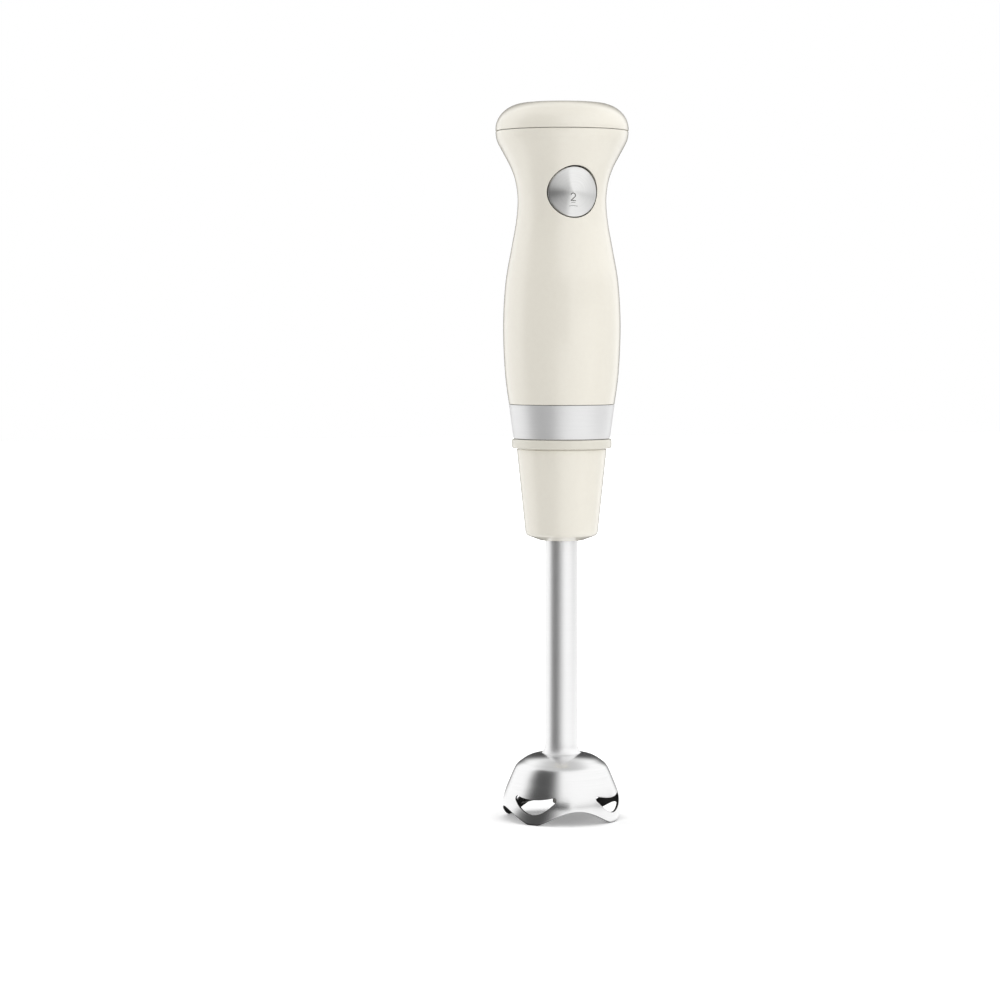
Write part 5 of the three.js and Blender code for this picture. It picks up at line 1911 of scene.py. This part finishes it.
@dataclass
class Drive(Assembly):
    """The motor and everything else inside the handle that doesn't turn."""

    def finishes(self) -> dict[str, Finish]:
        """The finishes of the pieces inside the handle.

        Returns:
            A finish for each CAD node.
        """
        plastic = (
            "coupling_socket", "motor_end_bell", "chassis", "switch_bracket",
            "lower_microswitch", "upper_microswitch", "cord_clamp",
        )
        plated = (
            "retaining_clip", "motor_yoke", "button_pin",
            "chassis_screw_front", "chassis_screw_rear",
        )
        paired = {
            "magnet": FERRITE,
            "brush_holder": BRASS,
            "brush": CARBON,
            "brush_spring": PLATED,
            "clamp_screw": PLATED,
        }
        return {
            **dict.fromkeys(plastic, DARK),
            **dict.fromkeys(plated, PLATED),
            **{f"{name}_{side}": paired[name] for side in ("left", "right") for name in paired},
            "damper_ring": RUBBER,
            "lower_motor_bearing": BRONZE,
            "upper_motor_bearing": BRONZE,
            "circuit_board": BOARD,
            "capacitor": CAN,
        }


@dataclass
class Rotor(Assembly):
    """The turning part of the motor."""

    body: ClassVar[Body] = Body.ROTOR

    def finishes(self) -> dict[str, Finish]:
        """The finishes of the rotor's pieces.

        Returns:
            A finish for each CAD node.
        """
        return {
            "motor_shaft": BLADE_STEEL,
            "armature_core": LAMINATION,
            "lower_winding": COPPER_WIRE,
            "upper_winding": COPPER_WIRE,
            "commutator": COPPER_BARS,
            "cooling_fan": DARK,
            "drive_dog": DARK,
        }


@dataclass
class Plungers(Assembly):
    """The two switch plungers behind the button."""

    def finishes(self) -> dict[str, Finish]:
        """Both plungers are plastic."""
        return {"lower_plunger": DARK, "upper_plunger": DARK}


# Studio


def toward(azimuth: float) -> Vector:
    """The level direction from the object towards an azimuth in degrees."""
    turn = math.radians(azimuth)
    return Vector((math.sin(turn), -math.cos(turn), 0))


@dataclass(frozen=True)
class Shade:
    """A darker part of the room's walls.

    Args:
        azimuth: where its middle lies.
        spread: cosines of the angles to its middle where it begins and where it is full.
        top: the upward parts of the directions where it begins to end and where it has ended.
        depth: how much it darkens the room, from 0 to 1.
    """

    azimuth: float
    spread: Point2
    top: Point2
    depth: float

    def cover(self, x: Value, y: Value) -> Value:
        """How much it darkens a direction, under its top.

        Args:
            x, y: the level parts of the direction.

        Returns:
            The share of the room's brightness that it takes.
        """
        middle = toward(self.azimuth)
        nearness = (x * middle.x + y * middle.y) / (x * x + y * y + TINY).root()
        return self.depth * nearness.between(*self.spread)

    def below(self, z: Value) -> Value:
        """1 under its top and 0 over it."""
        return 1 - z.between(*self.top)


@dataclass
class Studio:
    """Floor, room, lamps and camera."""

    azimuth: float = -16.0
    distance: float = 1.77
    eye: float = 0.275
    aim_height: float = 0.179
    aim_left: float = 0.0345
    lens: float = 114.0
    sensor: float = 36.0
    lamp_aim: float = 0.2
    floor_size: float = 12.0
    floor_glow: float = 0.26
    flag_azimuths: Point2 = (-58.0, 0.0)
    flag_distance: float = 3.0
    flag_heights: Point2 = (0.08, 1.05)
    flag_grey: float = 0.08
    pale: Colour = (1.15, 1.15, 1.15)
    ceiling: float = 0.45
    front_foot: Point2 = (0.04, 0.14)

    LEFT_STRIP: ClassVar[Shade] = Shade(-61.0, (0.64, 0.97), (0.74, 0.92), 0.93)
    BACK_WALL: ClassVar[Shade] = Shade(164.0, (0.84, 0.985), (0.45, 0.95), 0.96)
    RIGHT_WALL: ClassVar[Shade] = Shade(82.0, (0.8, 0.97), (0.05, 0.25), 0.4)
    FRONT_STRIP: ClassVar[Shade] = Shade(45.0, (0.7, 0.9), (0.16, 0.28), 0.5)

    @staticmethod
    def stand(name: str, data: bpy.types.ID, place: Vector, target: Vector) -> bpy.types.Object:
        """Puts up a camera or a lamp.

        Args:
            name: its name.
            data: its settings.
            place: where it stands.
            target: the point that it is aimed at.

        Returns:
            The new object.
        """
        thing = bpy.data.objects.new(name, data)
        bpy.context.scene.collection.objects.link(thing)
        thing.location = place
        thing.rotation_euler = (target - place).to_track_quat("-Z", "Y").to_euler()
        return thing

    @staticmethod
    def board(name: str, corners: Sequence[Point3]) -> tuple[bpy.types.Object, Tree]:
        """Puts up a flat board of the studio.

        Args:
            name: the name of the board and of its material.
            corners: its corners about the drive axis.

        Returns:
            The board and the empty node tree of its material.
        """
        draft = Draft()
        draft.panel(corners)
        board = draft.piece(name)
        made = bpy.data.materials.new(name)
        made.use_nodes = True
        board.data.materials.append(made)
        return board, Tree(made.node_tree)

    def camera(self) -> None:
        """The camera, aimed beside the drive axis."""
        data = bpy.data.cameras.new("camera")
        data.lens, data.sensor_width = self.lens, self.sensor
        axis = Vector((0, AXIS_Y, 0))
        back = toward(self.azimuth)
        left = back.cross(Vector((0, 0, 1)))
        place = axis + back * self.distance + Vector((0, 0, self.eye))
        target = axis + left * self.aim_left + Vector((0, 0, self.aim_height))
        bpy.context.scene.camera = self.stand("camera", data, place, target)

    def lamp(
        self, name: str, azimuth: float, height: float, distance: float, size: Point2, power: float
    ) -> None:
        """A rectangular soft lamp aimed at the object.

        Args:
            name: its name.
            azimuth: where it stands.
            height: its height over the floor.
            distance: its level distance from the frame's origin.
            size: its width and height.
            power: its power in watts.
        """
        data = bpy.data.lights.new(name, "AREA")
        data.shape = "RECTANGLE"
        data.size, data.size_y = size
        data.energy = power
        place = toward(azimuth) * distance + Vector((0, 0, height))
        lamp = self.stand(name, data, place, Vector((0, 0, self.lamp_aim)))
        lamp.visible_glossy = False

    def flag(self) -> None:
        """A black board beside the camera that only shows in reflections."""
        low, high = self.flag_heights
        left, right = (toward(azimuth) * self.flag_distance for azimuth in self.flag_azimuths)
        flag, tree = self.board("black_flag", [
            (left.x, left.y, low), (right.x, right.y, low),
            (right.x, right.y, high), (left.x, left.y, high),
        ])
        glow = tree.glow((self.flag_grey,) * 3)
        tree.node("ShaderNodeOutputMaterial", inputs={"Surface": glow})
        flag.visible_camera = False
        flag.visible_diffuse = False
        flag.visible_shadow = False

    def world(self) -> None:
        """White to the camera; to all else a pale room with shaded walls and a greyer ceiling."""
        world = bpy.data.worlds.new("studio")
        bpy.context.scene.world = world
        world.use_nodes = True
        tree = Tree(world.node_tree)
        x, y, z = tree.axes(tree.node("ShaderNodeTexCoord", output="Generated"))
        tone = 1 - self.ceiling * z.between(0.7, 0.97)
        for shade in (self.LEFT_STRIP, self.BACK_WALL, self.RIGHT_WALL):
            tone = tone * (1 - shade.cover(x, y) * shade.below(z))
        front = self.FRONT_STRIP.cover(x, y) * self.FRONT_STRIP.below(z)
        front = front * z.between(*self.front_foot) * tree.ray("Is Glossy Ray")
        room = tree.blend(tone * (1 - front), BLACK, self.pale)
        seen = tree.ray("Is Camera Ray").maximum(tree.ray("Is Transmission Ray"))
        tree.node("ShaderNodeOutputWorld", inputs={
            "Surface": tree.node("ShaderNodeBackground", inputs={
                "Color": tree.blend(seen, room, WHITE),
            }),
        })

    def floor(self) -> None:
        """A pale floor: white where it is seen, with the object's shadow, and grey in mirrors,
        with a painted shadow under the object.
        """
        half = self.floor_size / 2
        corners = [(-half, -half, 0), (half, -half, 0), (half, half, 0), (-half, half, 0)]
        floor, tree = self.board("floor", corners)
        x, y, _ = tree.axes(tree.node("ShaderNodeTexCoord", output="Object"))
        y = y - AXIS_Y
        far = (x * x + y * y).root()
        lift = self.floor_glow + (1 - self.floor_glow) * far.between(0.05, 0.6)
        glow = tree.glow(tree.blend(tree.ray("Is Camera Ray") * lift, BLACK, WHITE))
        matt = tree.node("ShaderNodeBsdfDiffuse", inputs={"Color": (0.9, 0.9, 0.9, 1.0)})
        # In mirrors the floor is black within about 4 cm of the drive axis: a painted shadow under
        # the bell.
        tone = far.between(0.03, 0.04)
        for shade in (self.LEFT_STRIP, self.BACK_WALL):
            tone = tone * (1 - shade.cover(x, y))
        tone = tone * (1 - self.RIGHT_WALL.cover(x, y) * far.between(0.5, 0.9))
        shader = tree.node("ShaderNodeMixShader", inputs=(
            tree.ray("Is Glossy Ray"),
            tree.node("ShaderNodeAddShader", inputs=(matt, glow)),
            tree.glow(tree.blend(tone, BLACK, self.pale)),
        ))
        tree.node("ShaderNodeOutputMaterial", inputs={"Surface": shader})

    def build(self) -> None:
        """Makes the whole studio."""
        self.camera()
        self.world()
        self.flag()
        self.floor()
        self.lamp("key_lamp", azimuth=5, height=0.6, distance=1.7, size=(1.4, 1.6), power=4.6)
        self.lamp("fill_lamp", azimuth=-115, height=0.7, distance=1.6, size=(1.4, 1.6), power=8)
        self.lamp("top_lamp", azimuth=0, height=2.0, distance=0.1, size=(1.4, 1.4), power=5.5)
        bpy.context.scene.view_settings.view_transform = "Standard"


def main() -> None:
    """Builds the studio and every sub-assembly in order."""
    logging.basicConfig(level=logging.INFO, format="%(name)s: %(message)s")
    Studio().build()
    shell = Shell()
    assemblies: list[Assembly] = [
        shell, Drive(), Rotor(), SpeedButton(shell), Plungers(), Foot(), BladeDrive(),
    ]
    for assembly in assemblies:
        for piece in assembly.build():
            count = len(piece.data.vertices)
            LOG.info("%s on %s, %d points", piece.name, assembly.body.value, count)
        assembly.dress()


if __name__ == "__main__":
    main()
